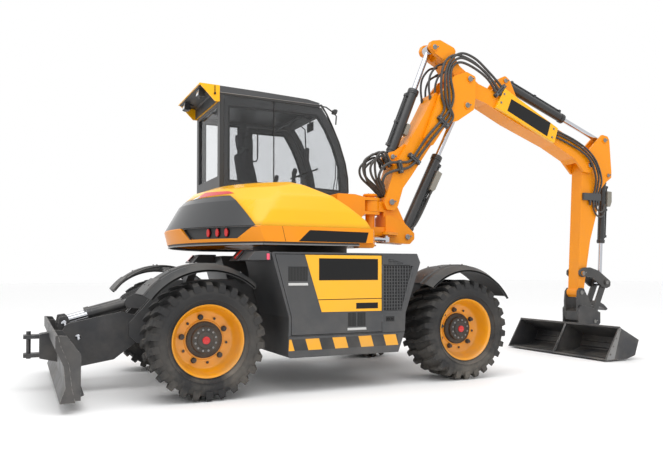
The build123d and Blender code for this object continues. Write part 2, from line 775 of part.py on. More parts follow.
# Cab
cab_right = 200
cab_left = 1190
cab_wall = 50
cab_floor = deck_top + 0.3
cab_front = [(690, 2000), (683, 2185), (652, 2351), (571, 2587), (488, 2764), (346, 2972)]
cab_outline = [(-850, cab_floor), (690, cab_floor)] + cab_front + [(-850, 3000)]
cab_mid = (cab_right + cab_left) / 2
cab_half = (cab_left - cab_right) / 2
inner_outline = [
    (-800, 1550), (640, 1550), (640, 1990), (630, 2180), (600, 2340), (520, 2565), (440, 2735),
    (320, 2930), (-800, 2930),
]
right_window = [(-760, 2060), (600, 2010), (580, 2300), (500, 2535), (400, 2735), (290, 2890), (-760, 2890)]
rear_side_window = [(-760, 2060), (-330, 2060), (-330, 2890), (-760, 2890)]
door_outline = [
    (-240, 1560), (610, 1560), (620, 1990), (610, 2170), (580, 2330), (500, 2550), (420, 2720),
    (310, 2890), (-240, 2890),
]
door_window = [
    (-180, 1700), (550, 1700), (560, 1990), (550, 2160), (520, 2310), (445, 2520), (370, 2680),
    (275, 2830), (-180, 2830),
]
windscreen_y = (cab_right + 60, cab_left - 60)
with BuildPart() as cab_shell:
    extrude(side_profile(cab_outline, 0, cab_mid), amount=cab_half, both=True)
    extrude(side_profile(inner_outline, 0, cab_mid), amount=cab_half - cab_wall, both=True, mode=Mode.SUBTRACT)
    # side windows and the doorway
    extrude(side_profile(right_window, 30, cab_right - 10), amount=-100, mode=Mode.SUBTRACT)
    extrude(side_profile(rear_side_window, 30, cab_left - 90), amount=-100, mode=Mode.SUBTRACT)
    extrude(side_profile(door_outline, 20, cab_left - 90), amount=-100, mode=Mode.SUBTRACT)
    # windscreen and rear window
    with BuildSketch(Plane.YZ.offset(200)):
        with Locations((cab_mid, 2340)):
            Rectangle(windscreen_y[1] - windscreen_y[0], 1120)
    extrude(amount=600, mode=Mode.SUBTRACT)
    with BuildSketch(Plane.YZ.offset(-900)):
        with Locations((cab_mid, 2500)):
            Rectangle(windscreen_y[1] - windscreen_y[0] - 40, 760)
    extrude(amount=120, mode=Mode.SUBTRACT)
export(cab_shell.part, "cab_shell")

glass_thickness = 6
glass_gap = 0.5


def window_pane(outline, y):
    """A pane of glass with rounded corners, a little smaller than its opening."""
    with BuildSketch(Plane.XZ.offset(-y)) as pane:
        with BuildLine():
            FilletPolyline(*outline, radius=30, close=True)
        make_face()
        offset(amount=-glass_gap)
    return pane.sketch


screen_line = [(684, 1790), (684, 1990), (677, 2180), (646, 2348), (565, 2583), (482, 2759), (390, 2890)]
with BuildPart() as cab_glass:
    extrude(window_pane(right_window, cab_right + 20), amount=-glass_thickness)
    extrude(window_pane(rear_side_window, cab_left - 20), amount=glass_thickness)
    # windscreen, following the front posts
    screen_inside = [(x - glass_thickness, z - 2) for x, z in reversed(screen_line)]
    screen = side_profile(screen_line + screen_inside, 0, cab_mid)
    extrude(screen, amount=cab_half - 60 - glass_gap, both=True)
    with BuildSketch(Plane.YZ.offset(-830)):
        with Locations((cab_mid, 2500)):
            Rectangle(
                windscreen_y[1] - windscreen_y[0] - 40 - 2 * glass_gap, 760 - 2 * glass_gap
            )
    extrude(amount=glass_thickness)
export(cab_glass.part, "cab_glass")

# Cab door: a frame that fills the doorway, and its pane
door_frame_gap = 6
with BuildPart() as cab_door:
    with BuildSketch(Plane.XZ.offset(-cab_left)):
        with BuildLine():
            FilletPolyline(*door_outline, radius=20, close=True)
        make_face()
        offset(amount=-door_frame_gap)
        with BuildLine():
            FilletPolyline(*door_window, radius=30, close=True)
        make_face(mode=Mode.SUBTRACT)
    extrude(amount=cab_wall - 10)
    # hinge lugs at the rear edge
    with BuildSketch(Plane.XZ.offset(-cab_left)):
        with Locations((door_outline[0][0] + seat_gap + 10, 1740), (door_outline[0][0] + seat_gap + 10, 2690)):
            Rectangle(20, 90)
    extrude(amount=cab_wall - 10)
export(cab_door.part, "cab_door")

with BuildPart() as cab_door_glass:
    extrude(window_pane(door_window, cab_left - 20), amount=glass_thickness)
export(cab_door_glass.part, "cab_door_glass")

# Roof panel, and the canopy on the cab's back with its two work lamps
roof_low = 3000.3
cab_rear = -850
with BuildPart() as cab_roof:
    roof_outline = [
        (300, roof_low), (330, 3020), (170, 3050), (-400, 3072), (cab_rear, 3083), (cab_rear, roof_low),
    ]
    extrude(side_profile(roof_outline, 5, cab_mid), amount=cab_half + 5, both=True)
export(cab_roof.part, "cab_roof")

with BuildPart() as rear_canopy:
    canopy_back = cab_rear - seat_gap
    canopy_outline = [
        (canopy_back, 3086), (-1070, 3089), (-1080, 3070), (-880, 3050), (canopy_back - 14, 3035),
        (canopy_back - 14, 2920), (canopy_back, 2920),
    ]
    extrude(side_profile(canopy_outline, 0, cab_mid), amount=cab_half + 5, both=True)
    # side cheeks
    cheek = [(canopy_back, 3080), (-1068, 3080), (-900, 2912), (canopy_back, 2912)]
    for side in (-1, 1):
        extrude(side_profile(cheek, 3, cab_mid + side * (cab_half - 3)), amount=8, both=True)
export(rear_canopy.part, "rear_canopy")

with BuildPart() as work_lamps:
    for lamp_y in (cab_mid - 330, cab_mid + 330):
        lamp_side = [
            (-1040, 3066 - seat_gap), (-990, 3061 - seat_gap), (-975, 2985), (-1030, 2975), (-1050, 2990),
        ]
        extrude(side_profile(lamp_side, 8, lamp_y), amount=55, both=True)
export(work_lamps.part, "work_lamps")

# Seat and controls
seat_x = -150
seat_y = 700
cab_inner_floor = 1550
with BuildPart() as controls:
    with BuildSketch(Plane.XY.offset(cab_inner_floor + 0.3)):
        with Locations((seat_x, seat_y)):
            Rectangle(420, 380)
    extrude(amount=330)
    for side in (-1, 1):
        with BuildSketch(Plane.XY.offset(cab_inner_floor + 0.3)):
            with Locations((seat_x + 60, seat_y + side * 300)):
                Rectangle(460, 120)
        extrude(amount=540)
        with BuildSketch(Plane.XY.offset(cab_inner_floor + 530)):
            with Locations((seat_x + 230, seat_y + side * 300)):
                Circle(18)
        extrude(amount=170)
    with BuildSketch(Plane.XY.offset(cab_inner_floor + 0.3)):
        with Locations((seat_x, seat_y)):
            Rectangle(300, 700)
    extrude(amount=60)
    # steering column and wheel
    column = [(520, cab_inner_floor + 0.3), (440, cab_inner_floor + 0.3), (330, 2250), (390, 2270)]
    extrude(side_profile(column, 0, seat_y), amount=60, both=True)
    with BuildSketch(Plane.XY.offset(cab_inner_floor + 0.3)):
        with Locations((160, seat_y)):
            Rectangle(700, 80)
    extrude(amount=20)
    with BuildSketch(Plane(origin=(350, seat_y, 2270), x_dir=(0, 1, 0), z_dir=(-0.4, 0, 1))):
        Circle(180)
        Circle(160, mode=Mode.SUBTRACT)
    extrude(amount=20)
    with BuildSketch(Plane(origin=(350, seat_y, 2255), x_dir=(0, 1, 0), z_dir=(-0.4, 0, 1))):
        Rectangle(340, 30)
    extrude(amount=25)
export(controls.part, "controls")

with BuildPart() as seat:
    seat_base = cab_inner_floor + 330.6
    cushion = [(seat_x - 230, seat_base), (seat_x + 270, seat_base), (seat_x + 280, seat_base + 130),
               (seat_x - 120, seat_base + 110), (seat_x - 270, seat_base + 620), (seat_x - 360, seat_base + 610)]
    extrude(side_profile(cushion, 30, seat_y), amount=225, both=True)
    rest = [(seat_x - 290, seat_base + 600), (seat_x - 360, seat_base + 590), (seat_x - 380, seat_base + 830),
            (seat_x - 310, seat_base + 840)]
    extrude(side_profile(rest, 20, seat_y), amount=130, both=True)
export(seat.part, "seat")

# Kingpost: a tongue and a lug on the swing pin, with the arm's foot and the boom cylinder in front
kingpost_half = 80
with BuildPart() as kingpost:
    post_outline = [
        (1005, 1935), (1078, 1985), (1160, 1935), (1180, 1860), (1330, 1580), (1330, 1425),
        (1005, 1425),
    ]
    extrude(side_profile(post_outline, 20), amount=kingpost_half, both=True)
    lower_outline = [
        (1005, 1425), (1005, 1740), (1060, 1740), (1160, 1700), (1250, 1660), (1390, 1540), (1390, 1470),
        (1330, 1412),
    ]
    extrude(side_profile(lower_outline, 30), amount=125, both=True)
    with BuildSketch(Plane.XY.offset(kingpost_tongue[0])):
        with Locations((swing_x, 0)):
            Circle(108)
        with Locations((swing_x + 75, 0)):
            Rectangle(150, 160)
    extrude(amount=kingpost_tongue[1] - kingpost_tongue[0])
    with BuildSketch(Plane.XY.offset(kingpost_lug[0])):
        with Locations((swing_x, 0)):
            Circle(108)
        with Locations((swing_x + 75, 0)):
            Rectangle(150, 216)
    extrude(amount=kingpost_lug[1] - kingpost_lug[0])
    # bores for the swing pin, the arm's foot pin, and the slot and pin of the boom cylinder
    with BuildSketch(Plane.XY.offset(1300)):
        with Locations((swing_x, 0)):
            Circle(swing_pin_radius + pin_gap)
    extrude(amount=800, mode=Mode.SUBTRACT)
    extrude(side_disc(boom_foot, arm_pin + pin_gap), amount=300, both=True, mode=Mode.SUBTRACT)
    cylinder_slot = [(1190, 1380), (1165, 1560), (1210, 1720), (1225, 1800), (1450, 1800), (1450, 1380)]
    extrude(side_profile(cylinder_slot, 0), amount=boom_cylinder + side_gap, both=True, mode=Mode.SUBTRACT)
    extrude(side_disc(boom_cylinder_foot, cylinder_pin), amount=135, both=True)
    # the eye of the swing cylinder, out to the right
    with BuildSketch(Plane.XY.offset(kingpost_lug[0] + 2)):
        with Locations(swing_eye):
            Circle(45)
        with BuildLine():
            Polyline(
                (swing_eye[0] - 38, swing_eye[1] + 24), (1010, -60), (1140, -60), (1140, -170),
                (swing_eye[0] + 35, swing_eye[1] - 28), close=True,
            )
        make_face()
    extrude(amount=30)
    with BuildSketch(Plane.XY.offset(kingpost_lug[0] + 20)):
        with Locations(swing_eye):
            Circle(swing_cylinder_pin + 6)
    extrude(amount=24)
export(kingpost.part, "kingpost")


def swing_line():
    """The swing cylinder's plane: at its foot, with its normal along the cylinder."""
    direction = Vector(swing_eye[0] - swing_foot[0], swing_eye[1] - swing_foot[1], 0).normalized()
    return Plane(origin=(swing_foot[0], swing_foot[1], swing_level), x_dir=(0, 0, 1), z_dir=direction)


swing_span = hypot(swing_eye[0] - swing_foot[0], swing_eye[1] - swing_foot[1])
swing_barrel_length = 430
with BuildPart() as swing_barrel:
    swing_base = swing_line()
    with BuildSketch(swing_base.offset(30)):
        Circle(42)
    extrude(amount=swing_barrel_length - 30)
    with BuildSketch(Plane.XY.offset(swing_level - 27)):
        with Locations(swing_foot):
            Circle(42)
    extrude(amount=54)
    with BuildSketch(swing_base.offset(70)):
        Circle(24 + rod_gap)
    extrude(amount=swing_barrel_length, mode=Mode.SUBTRACT)
    with BuildSketch(Plane.XY.offset(swing_level - 60)):
        with Locations(swing_foot):
            Circle(swing_cylinder_pin + pin_gap)
    extrude(amount=120, mode=Mode.SUBTRACT)
export(swing_barrel.part, "swing_barrel")

with BuildPart() as swing_rod:
    with BuildSketch(swing_base.offset(300)):
        Circle(24)
    extrude(amount=swing_span - 300)
    with BuildSketch(Plane.XY.offset(swing_level - 25)):
        with Locations(swing_eye):
            Circle(40)
    extrude(amount=50)
    with BuildSketch(Plane.XY.offset(swing_level - 29)):
        with Locations(swing_eye):
            Circle(swing_cylinder_pin)
    extrude(amount=69)
export(swing_rod.part, "swing_rod")

# Boom: a box beam with a forked foot and two cheeks at its head
with BuildPart() as boom:
    boom_outline = [
        (985, 1870), (1020, 1800), (1120, 1796), (1167, 1848), (1235, 2059), (1358, 2218), (1581, 2528),
        (1822, 2850), (1888, 2965), (1850, 3060), (1735, 3180), (1690, 3240), (1526, 2938), (1250, 2502),
        (1128, 2319), (1034, 2025),
    ]
    extrude(side_profile(boom_outline, 20), amount=boom_half, both=True)
    # fork at the foot
    foot_slot = [(900, 1700), (900, 2000), (1060, 2040), (1300, 2040), (1300, 1700)]
    extrude(side_profile(foot_slot, 0), amount=kingpost_half + side_gap, both=True, mode=Mode.SUBTRACT)
    extrude(side_disc(boom_foot, arm_pin), amount=boom_half + 12, both=True)
    # cheeks
    cheek_outline = [
        (1922, 3440), (2107, 3512), (2237, 3468), (2235, 3209), (2209, 3060), (1970, 2902), (1825, 2864),
        (1600, 2560), (1500, 2660), (1726, 3200),
    ]
    cheek_middle = (cheek_inside + cheek_outside) / 2
    for side in (-1, 1):
        extrude(
            side_profile(cheek_outline, 30, side * cheek_middle),
            amount=(cheek_outside - cheek_inside) / 2, both=True,
        )
        extrude(
            side_profile([(1600, 2590), (1540, 2660), (1690, 3100), (1850, 3060), (1880, 2960), (1800, 2840)], 20,
                         side * (boom_half + 5)),
            amount=10, both=True,
        )
    extrude(side_disc(boom_head, arm_pin), amount=cheek_outside + 12, both=True)
    for side in (-1, 1):
        extrude(side_disc(boom_cylinder_eye, 45, side * cheek_outside), amount=10, both=True)
    # ears of the adjusting cylinder on the boom's back
    for side in (-1, 1):
        ear = [(1180, 2280), (1060, 2370), (1070, 2470), (1150, 2490), (1300, 2600), (1320, 2540)]
        ear_y = side * (adjust_cylinder + side_gap + ear_wall / 2)
        extrude(side_profile(ear, 30, ear_y), amount=ear_wall / 2, both=True)
    extrude(side_disc(adjust_foot, cylinder_pin), amount=adjust_cylinder + ear_wall + 10, both=True)
export(boom.part, "boom")

# Intermediate boom with its rear horn, top ears and front fork
with BuildPart() as intermediate_boom:
    intermediate_outline = [
        (1615, 3770), (1640, 3840), (1760, 3866), (1960, 3800), (1985, 3765), (1965, 3690), (2040, 3590),
        (2200, 3490), (2325, 3405), (2572, 3335),
        (3660, 2945), (3979, 2813), (4230, 2640), (4275, 2510), (4200, 2430), (4080, 2430), (3905, 2600),
        (3554, 2759), (2863, 2997), (2447, 3175), (2240, 3230), (2070, 3330), (1840, 3620), (1700, 3690),
    ]
    extrude(side_profile(intermediate_outline, 25), amount=intermediate_half, both=True)
    # slot of the adjusting cylinder's eye
    horn_slot = [(1560, 3550), (1560, 3920), (1770, 3920), (1770, 3550)]
    extrude(side_profile(horn_slot, 0), amount=adjust_cylinder + side_gap, both=True, mode=Mode.SUBTRACT)
    for side in (-1, 1):
        extrude(side_disc(adjust_eye, 45, side * intermediate_half), amount=10, both=True)
    # fork at the front end
    nose_slot = [(3960, 2350), (3960, 2900), (4400, 2900), (4400, 2350)]
    extrude(side_profile(nose_slot, 0), amount=nose_inside, both=True, mode=Mode.SUBTRACT)
    extrude(side_disc(dipper_pivot, arm_pin), amount=intermediate_half + 12, both=True)
    # bore of the pivot on the boom's head
    extrude(side_disc(boom_head, arm_pin + pin_gap), amount=300, both=True, mode=Mode.SUBTRACT)
    # ears of the dipper cylinder
    for side in (-1, 1):
        ear = [(2520, 3300), (2700, 3540), (2780, 3575), (2850, 3530), (3060, 3130), (2800, 3200)]
        ear_y = side * (dipper_cylinder + side_gap + ear_wall / 2)
        extrude(side_profile(ear, 30, ear_y), amount=ear_wall / 2, both=True)
    extrude(side_disc(dipper_cylinder_foot, cylinder_pin), amount=dipper_cylinder + ear_wall + 10, both=True)
export(intermediate_boom.part, "intermediate_boom")

# Dipper
with BuildPart() as dipper:
    dipper_outline = [
        (4075, 2450), (3985, 750), (4060, 750), (4096, 842), (4142, 1111), (4220, 1518), (4335, 1862),
        (4414, 2208), (4520, 2320), (4625, 2390), (4630, 2470), (4593, 2912), (4560, 2960), (4460, 2975),
        (4271, 2802), (4120, 2640), (4085, 2560),
    ]
    extrude(side_profile(dipper_outline, 15), amount=dipper_half, both=True)
    extrude(side_disc(dipper_pivot, 92), amount=dipper_half, both=True)
    extrude(side_disc(hitch_pivot, 62), amount=dipper_half, both=True)
    # slots of the two cylinder eyes
    rod_slot = [(4150, 2700), (4528, 2828), (4700, 2828), (4700, 3100), (4150, 3100)]
    extrude(side_profile(rod_slot, 0), amount=dipper_cylinder + side_gap, both=True, mode=Mode.SUBTRACT)
    foot_slot = [(4485, 2200), (4485, 2490), (4700, 2490), (4700, 2200)]
    extrude(side_profile(foot_slot, 0), amount=bucket_cylinder + side_gap, both=True, mode=Mode.SUBTRACT)
    extrude(side_disc(bucket_cylinder_foot, cylinder_pin), amount=dipper_half + 8, both=True)
    for side in (-1, 1):
        extrude(side_disc(dipper_cylinder_eye, 42, side * dipper_half), amount=8, both=True)
    extrude(side_disc(lever_pivot, 30), amount=130, both=True)
    extrude(side_disc(dipper_pivot, arm_pin + pin_gap), amount=300, both=True, mode=Mode.SUBTRACT)
    extrude(side_disc(hitch_pivot, 30 + pin_gap), amount=300, both=True, mode=Mode.SUBTRACT)
export(dipper.part, "dipper")

# Bucket linkage
lever_inside = 94
lever_outside = 120
link_inside = 62
link_outside = 88
with BuildPart() as tipping_lever:
    lever_outline = [
        (3990, 1050), (3995, 1110), (4060, 1145), (4180, 1150), (4340, 1105), (4560, 960), (4555, 890),
        (4480, 865), (4400, 890), (4250, 1003), (4130, 1030), (4040, 1018),
    ]
    for side in (-1, 1):
        middle = side * (lever_inside + lever_outside) / 2
        extrude(
            side_profile(lever_outline, 30, middle), amount=(lever_outside - lever_inside) / 2, both=True
        )
        extrude(side_disc(lever_eye, 40, side * (lever_outside + 4)), amount=8, both=True)
    # tube that joins the two plates
    extrude(side_disc((4280, 1050), 18), amount=lever_inside + 2, both=True)
    extrude(side_disc(lever_pivot, 30 + pin_gap), amount=300, both=True, mode=Mode.SUBTRACT)
export(tipping_lever.part, "tipping_lever")

with BuildPart() as tipping_link:
    link_plane = line_plane(lever_eye, link_foot)
    link_length = distance(lever_eye, link_foot)
    for side in (-1, 1):
        middle = side * (link_inside + link_outside) / 2
        half = (link_outside - link_inside) / 2
        with BuildSketch(link_plane):
            with Locations((middle, 0)):
                Rectangle(2 * half, 90)
        extrude(amount=link_length)
        extrude(side_disc(lever_eye, 55, middle), amount=half, both=True)
        extrude(side_disc(link_foot, 50, middle), amount=half, both=True)
    # cross plate with the lifting hook
    hook = [(4350, 700), (4300, 640), (4440, 600), (4500, 560), (4540, 580), (4470, 640)]
    extrude(side_profile(hook, 10), amount=link_outside, both=True)
    extrude(side_disc(link_foot, 28 + pin_gap), amount=300, both=True, mode=Mode.SUBTRACT)
export(tipping_link.part, "tipping_link")

hitch_inside = 94
hitch_outside = 122
with BuildPart() as quick_hitch:
    hitch_outline = [
        (3950, 500), (3945, 700), (3960, 830), (4000, 875), (4060, 870), (4310, 470), (4310, 400), (4262, 355),
        (4150, 370), (3960, 430),
    ]
    for side in (-1, 1):
        middle = side * (hitch_inside + hitch_outside) / 2
        extrude(
            side_profile(hitch_outline, 25, middle), amount=(hitch_outside - hitch_inside) / 2, both=True
        )
    extrude(side_profile([(3955, 440), (3955, 560), (4060, 600), (4120, 480), (4120, 400)], 10),
            amount=hitch_inside + 2, both=True)
    extrude(side_disc(hitch_pivot, 30), amount=hitch_outside, both=True)
    extrude(side_disc(link_foot, 28), amount=hitch_outside, both=True)
export(quick_hitch.part, "quick_hitch")

bucket_half = 875
bucket_wall = 16
bucket_outline = [(3858, 414), (4190, 245), (4122, 58), (3980, 20), (3620, 20), (3640, 60)]
bucket_inside = [(3700, 475), (4166, 239), (4104, 74), (3975, 36), (3500, 36)]
with BuildPart() as bucket:
    extrude(side_profile(bucket_outline, 2), amount=bucket_half, both=True)
    for side in (-1, 1):
        extrude(
            side_profile(bucket_inside, 0, side * (6 + (bucket_half - bucket_wall)) / 2),
            amount=(bucket_half - bucket_wall - 6) / 2, both=True, mode=Mode.SUBTRACT,
        )
    # ears that the quick hitch holds
    ear_outline = [
        (3945, 368), (3945, 600), (4000, 650), (4200, 600), (4335, 540), (4335, 400), (4180, 250),
    ]
    for side in (-1, 1):
        extrude(side_profile(ear_outline, 10, side * (hitch_outside + 12.3)), amount=12, both=True)
export(bucket.part, "bucket")

# Arm cylinders: name, foot, eye, outside radius, rod radius, barrel length, start of the rod, half width
# of the rod's eye, half length of the pin that the eye carries
arm_cylinders = [
    ("boom", boom_cylinder_foot, boom_cylinder_eye, boom_cylinder, 34, 1115, 870, 60, 125),
    ("adjust", adjust_foot, adjust_eye, adjust_cylinder, 33, 900, 600, 54, 60),
    ("dipper", dipper_cylinder_foot, dipper_cylinder_eye, dipper_cylinder, 32, 1100, 760, 54, 56),
    ("bucket", bucket_cylinder_foot, lever_eye, bucket_cylinder, 27, 930, 560, 43, 45),
]
for name, foot, eye, outside, rod, barrel_length, rod_start, eye_half, pin_half in arm_cylinders:
    barrel_part = hydraulic_barrel(foot, eye, outside, rod, barrel_length, cylinder_pin, outside, 55)
    export(barrel_part, name + "_barrel")
    rod_part = hydraulic_rod(foot, eye, outside, rod, rod_start, 28, eye_half, 56, pin_half)
    export(rod_part, name + "_rod")
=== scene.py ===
import bmesh
import bpy
import json
import math
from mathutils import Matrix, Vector


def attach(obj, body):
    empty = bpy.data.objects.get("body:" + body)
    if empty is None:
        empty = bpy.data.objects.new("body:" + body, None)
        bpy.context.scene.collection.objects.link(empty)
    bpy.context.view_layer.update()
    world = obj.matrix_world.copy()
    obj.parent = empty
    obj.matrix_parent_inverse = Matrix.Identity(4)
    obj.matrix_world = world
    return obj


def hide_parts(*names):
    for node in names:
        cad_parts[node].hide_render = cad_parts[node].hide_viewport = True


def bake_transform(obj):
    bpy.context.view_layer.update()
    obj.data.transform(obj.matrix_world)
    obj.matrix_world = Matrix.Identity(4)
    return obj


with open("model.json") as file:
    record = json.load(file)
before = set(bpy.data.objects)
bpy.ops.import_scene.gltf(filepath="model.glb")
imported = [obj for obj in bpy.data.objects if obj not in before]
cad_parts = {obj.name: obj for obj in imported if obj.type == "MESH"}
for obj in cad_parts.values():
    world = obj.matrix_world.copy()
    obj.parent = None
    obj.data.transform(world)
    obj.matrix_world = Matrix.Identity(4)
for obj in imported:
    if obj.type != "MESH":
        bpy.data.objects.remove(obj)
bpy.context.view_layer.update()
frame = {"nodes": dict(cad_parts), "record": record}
scene = bpy.context.scene
MM = 0.001             # every table of sizes is in millimetres
NODE_STEP = 220        # between nodes in a tree
HANDS = ((-1, "right"), (1, "left"))


# Colours and shader groups

BARE_METAL = (0.35, 0.34, 0.33, 1)     # as the shader wants it
SECOND_SHADE = 0.85                    # of the first colour, where a surface has no second one


def linear(red, green, blue):
    """A colour of 0 to 255 as the shader wants it."""
    def channel(value):
        value /= 255
        return value / 12.92 if value <= 0.04045 else ((value + 0.055) / 1.055) ** 2.4
    return channel(red), channel(green), channel(blue), 1.0


def shaded(colour, share):
    return tuple(part * share for part in colour[:3]) + (1,)


def socket(tree, name, kind, side, value=None, low=None, high=None):
    item = tree.interface.new_socket(name, in_out=side, socket_type=kind)
    if value is not None:
        item.default_value = value
    if low is not None:
        item.min_value, item.max_value = low, high
    return item


def fill_in(box, values):
    """Sets a node's inputs by their names."""
    for label, value in values.items():
        box.inputs[label].default_value = value


def node(tree, kind, values=None, **settings):
    """A new node, to the right of the last one, with its settings and the values of its inputs."""
    made = tree.nodes.new(kind)
    made.location = (NODE_STEP * len(tree.nodes), 0)
    for key, value in settings.items():
        setattr(made, key, value)
    fill_in(made, values or {})
    return made


def wire(tree, *pairs):
    for start, end in pairs:
        tree.links.new(start, end)


def maths(tree, operation, first, second, clamp=False):
    """A Math node whose inputs are sockets or plain numbers."""
    made = node(tree, "ShaderNodeMath", operation=operation, use_clamp=clamp)
    for slot, value in zip(made.inputs, (first, second)):
        if isinstance(value, (int, float)):
            slot.default_value = value
        elif value is not None:
            tree.links.new(value, slot)
    return made.outputs[0]


def shader_group(name, inputs, outputs):
    """An empty shader group. Each input is a name, a value and its limits, and a colour is a tuple."""
    tree = bpy.data.node_groups.new(name, "ShaderNodeTree")
    for label, value, *limits in inputs:
        kind = "NodeSocketColor" if isinstance(value, tuple) else "NodeSocketFloat"
        socket(tree, label, kind, "INPUT", value, *limits)
    for label in outputs:
        socket(tree, label, "NodeSocketColor" if label == "Colour" else "NodeSocketFloat", "OUTPUT")
    return tree, node(tree, "NodeGroupInput"), node(tree, "NodeGroupOutput")


def road_dirt_group():
    """Dust that settles on faces that look up and in uneven patches, stronger near the ground."""
    tree, ins, outs = shader_group("road_dirt", [
        ("Colour", (0.5, 0.5, 0.5, 1)), ("Dust Colour", (0.3, 0.27, 0.23, 1)), ("Amount", 0.2, 0, 1),
        ("Patch Scale", 3.0, 0.01, 200), ("Ground Reach", 1.2, 0.05, 10),
    ], ["Colour", "Mask"])
    where = node(tree, "ShaderNodeTexCoord")
    split = node(tree, "ShaderNodeSeparateXYZ")
    patches = node(tree, "ShaderNodeTexNoise", {"Detail": 6, "Roughness": 0.62})
    facing = node(tree, "ShaderNodeSeparateXYZ")
    wire(
        tree, (where.outputs["Object"], patches.inputs["Vector"]), (where.outputs["Object"], split.inputs[0]),
        (where.outputs["Normal"], facing.inputs[0]), (ins.outputs["Patch Scale"], patches.inputs["Scale"]),
    )
    height = maths(tree, "DIVIDE", split.outputs["Z"], ins.outputs["Ground Reach"])
    low = maths(tree, "SUBTRACT", 1.0, height, True)
    up = maths(tree, "MULTIPLY", facing.outputs["Z"], 0.5, True)
    held = maths(tree, "ADD", maths(tree, "MULTIPLY", low, 0.7), up)
    spotted = maths(tree, "MULTIPLY", maths(tree, "SUBTRACT", patches.outputs["Fac"], 0.38, True), 3.2, True)
    mask = maths(tree, "MULTIPLY", maths(tree, "MULTIPLY", held, spotted), ins.outputs["Amount"], True)
    mix = node(tree, "ShaderNodeMix", data_type="RGBA")
    wire(
        tree, (mask, mix.inputs["Factor"]), (ins.outputs["Colour"], mix.inputs["A"]),
        (ins.outputs["Dust Colour"], mix.inputs["B"]), (mix.outputs["Result"], outs.inputs["Colour"]),
        (mask, outs.inputs["Mask"]),
    )
    return tree


def edge_wear_group():
    """Bare or paler metal where a corner has been rubbed."""
    tree, ins, outs = shader_group("edge_wear", [
        ("Colour", (0.5, 0.5, 0.5, 1)), ("Worn Colour", (0.4, 0.4, 0.4, 1)), ("Width", 0.006, 0, 0.1),
        ("Amount", 0.5, 0, 1),
    ], ["Colour", "Mask"])
    round_edge = node(tree, "ShaderNodeBevel", samples=4)
    plain = node(tree, "ShaderNodeNewGeometry")
    dot = node(tree, "ShaderNodeVectorMath", operation="DOT_PRODUCT")
    where = node(tree, "ShaderNodeTexCoord")
    chips = node(tree, "ShaderNodeTexNoise", {"Scale": 34, "Detail": 5})
    wire(
        tree, (ins.outputs["Width"], round_edge.inputs["Radius"]), (round_edge.outputs[0], dot.inputs[0]),
        (plain.outputs["Normal"], dot.inputs[1]), (where.outputs["Object"], chips.inputs["Vector"]),
    )
    bent = maths(tree, "MULTIPLY", maths(tree, "SUBTRACT", 1.0, dot.outputs["Value"], True), 5.0, True)
    broken = maths(tree, "MULTIPLY", maths(tree, "SUBTRACT", chips.outputs["Fac"], 0.42, True), 6.0, True)
    mask = maths(tree, "MULTIPLY", maths(tree, "MULTIPLY", bent, broken), ins.outputs["Amount"], True)
    mix = node(tree, "ShaderNodeMix", data_type="RGBA")
    wire(
        tree, (mask, mix.inputs["Factor"]), (ins.outputs["Colour"], mix.inputs["A"]),
        (ins.outputs["Worn Colour"], mix.inputs["B"]), (mix.outputs["Result"], outs.inputs["Colour"]),
        (mask, outs.inputs["Mask"]),
    )
    return tree


def tone_group():
    """Slow changes of tone over a surface, and a fine grain for its bump and gloss."""
    tree, ins, outs = shader_group("tone_and_grain", [
        ("Colour", (0.5, 0.5, 0.5, 1)), ("Second Colour", (0.4, 0.4, 0.4, 1)), ("Tone Scale", 2.0, 0.01, 500),
        ("Grain Scale", 300.0, 0.01, 5000), ("Roughness", 0.4, 0, 1), ("Spread", 0.1, 0, 1),
    ], ["Colour", "Grain", "Roughness"])
    where = node(tree, "ShaderNodeTexCoord")
    tone = node(tree, "ShaderNodeTexNoise", {"Detail": 4})
    grain = node(tree, "ShaderNodeTexNoise", {"Detail": 2})
    mix = node(tree, "ShaderNodeMix", data_type="RGBA")
    wire(
        tree, (where.outputs["Object"], tone.inputs["Vector"]),
        (where.outputs["Object"], grain.inputs["Vector"]),
        (ins.outputs["Tone Scale"], tone.inputs["Scale"]),
        (ins.outputs["Grain Scale"], grain.inputs["Scale"]),
        (tone.outputs["Fac"], mix.inputs["Factor"]), (ins.outputs["Colour"], mix.inputs["A"]),
        (ins.outputs["Second Colour"], mix.inputs["B"]), (mix.outputs["Result"], outs.inputs["Colour"]),
        (grain.outputs["Fac"], outs.inputs["Grain"]),
    )
    swing = maths(tree, "MULTIPLY", maths(tree, "SUBTRACT", tone.outputs["Fac"], 0.5), ins.outputs["Spread"])
    wire(tree, (maths(tree, "ADD", ins.outputs["Roughness"], swing, True), outs.inputs["Roughness"]))
    return tree


ROAD_DIRT = road_dirt_group()
EDGE_WEAR = edge_wear_group()
TONE = tone_group()


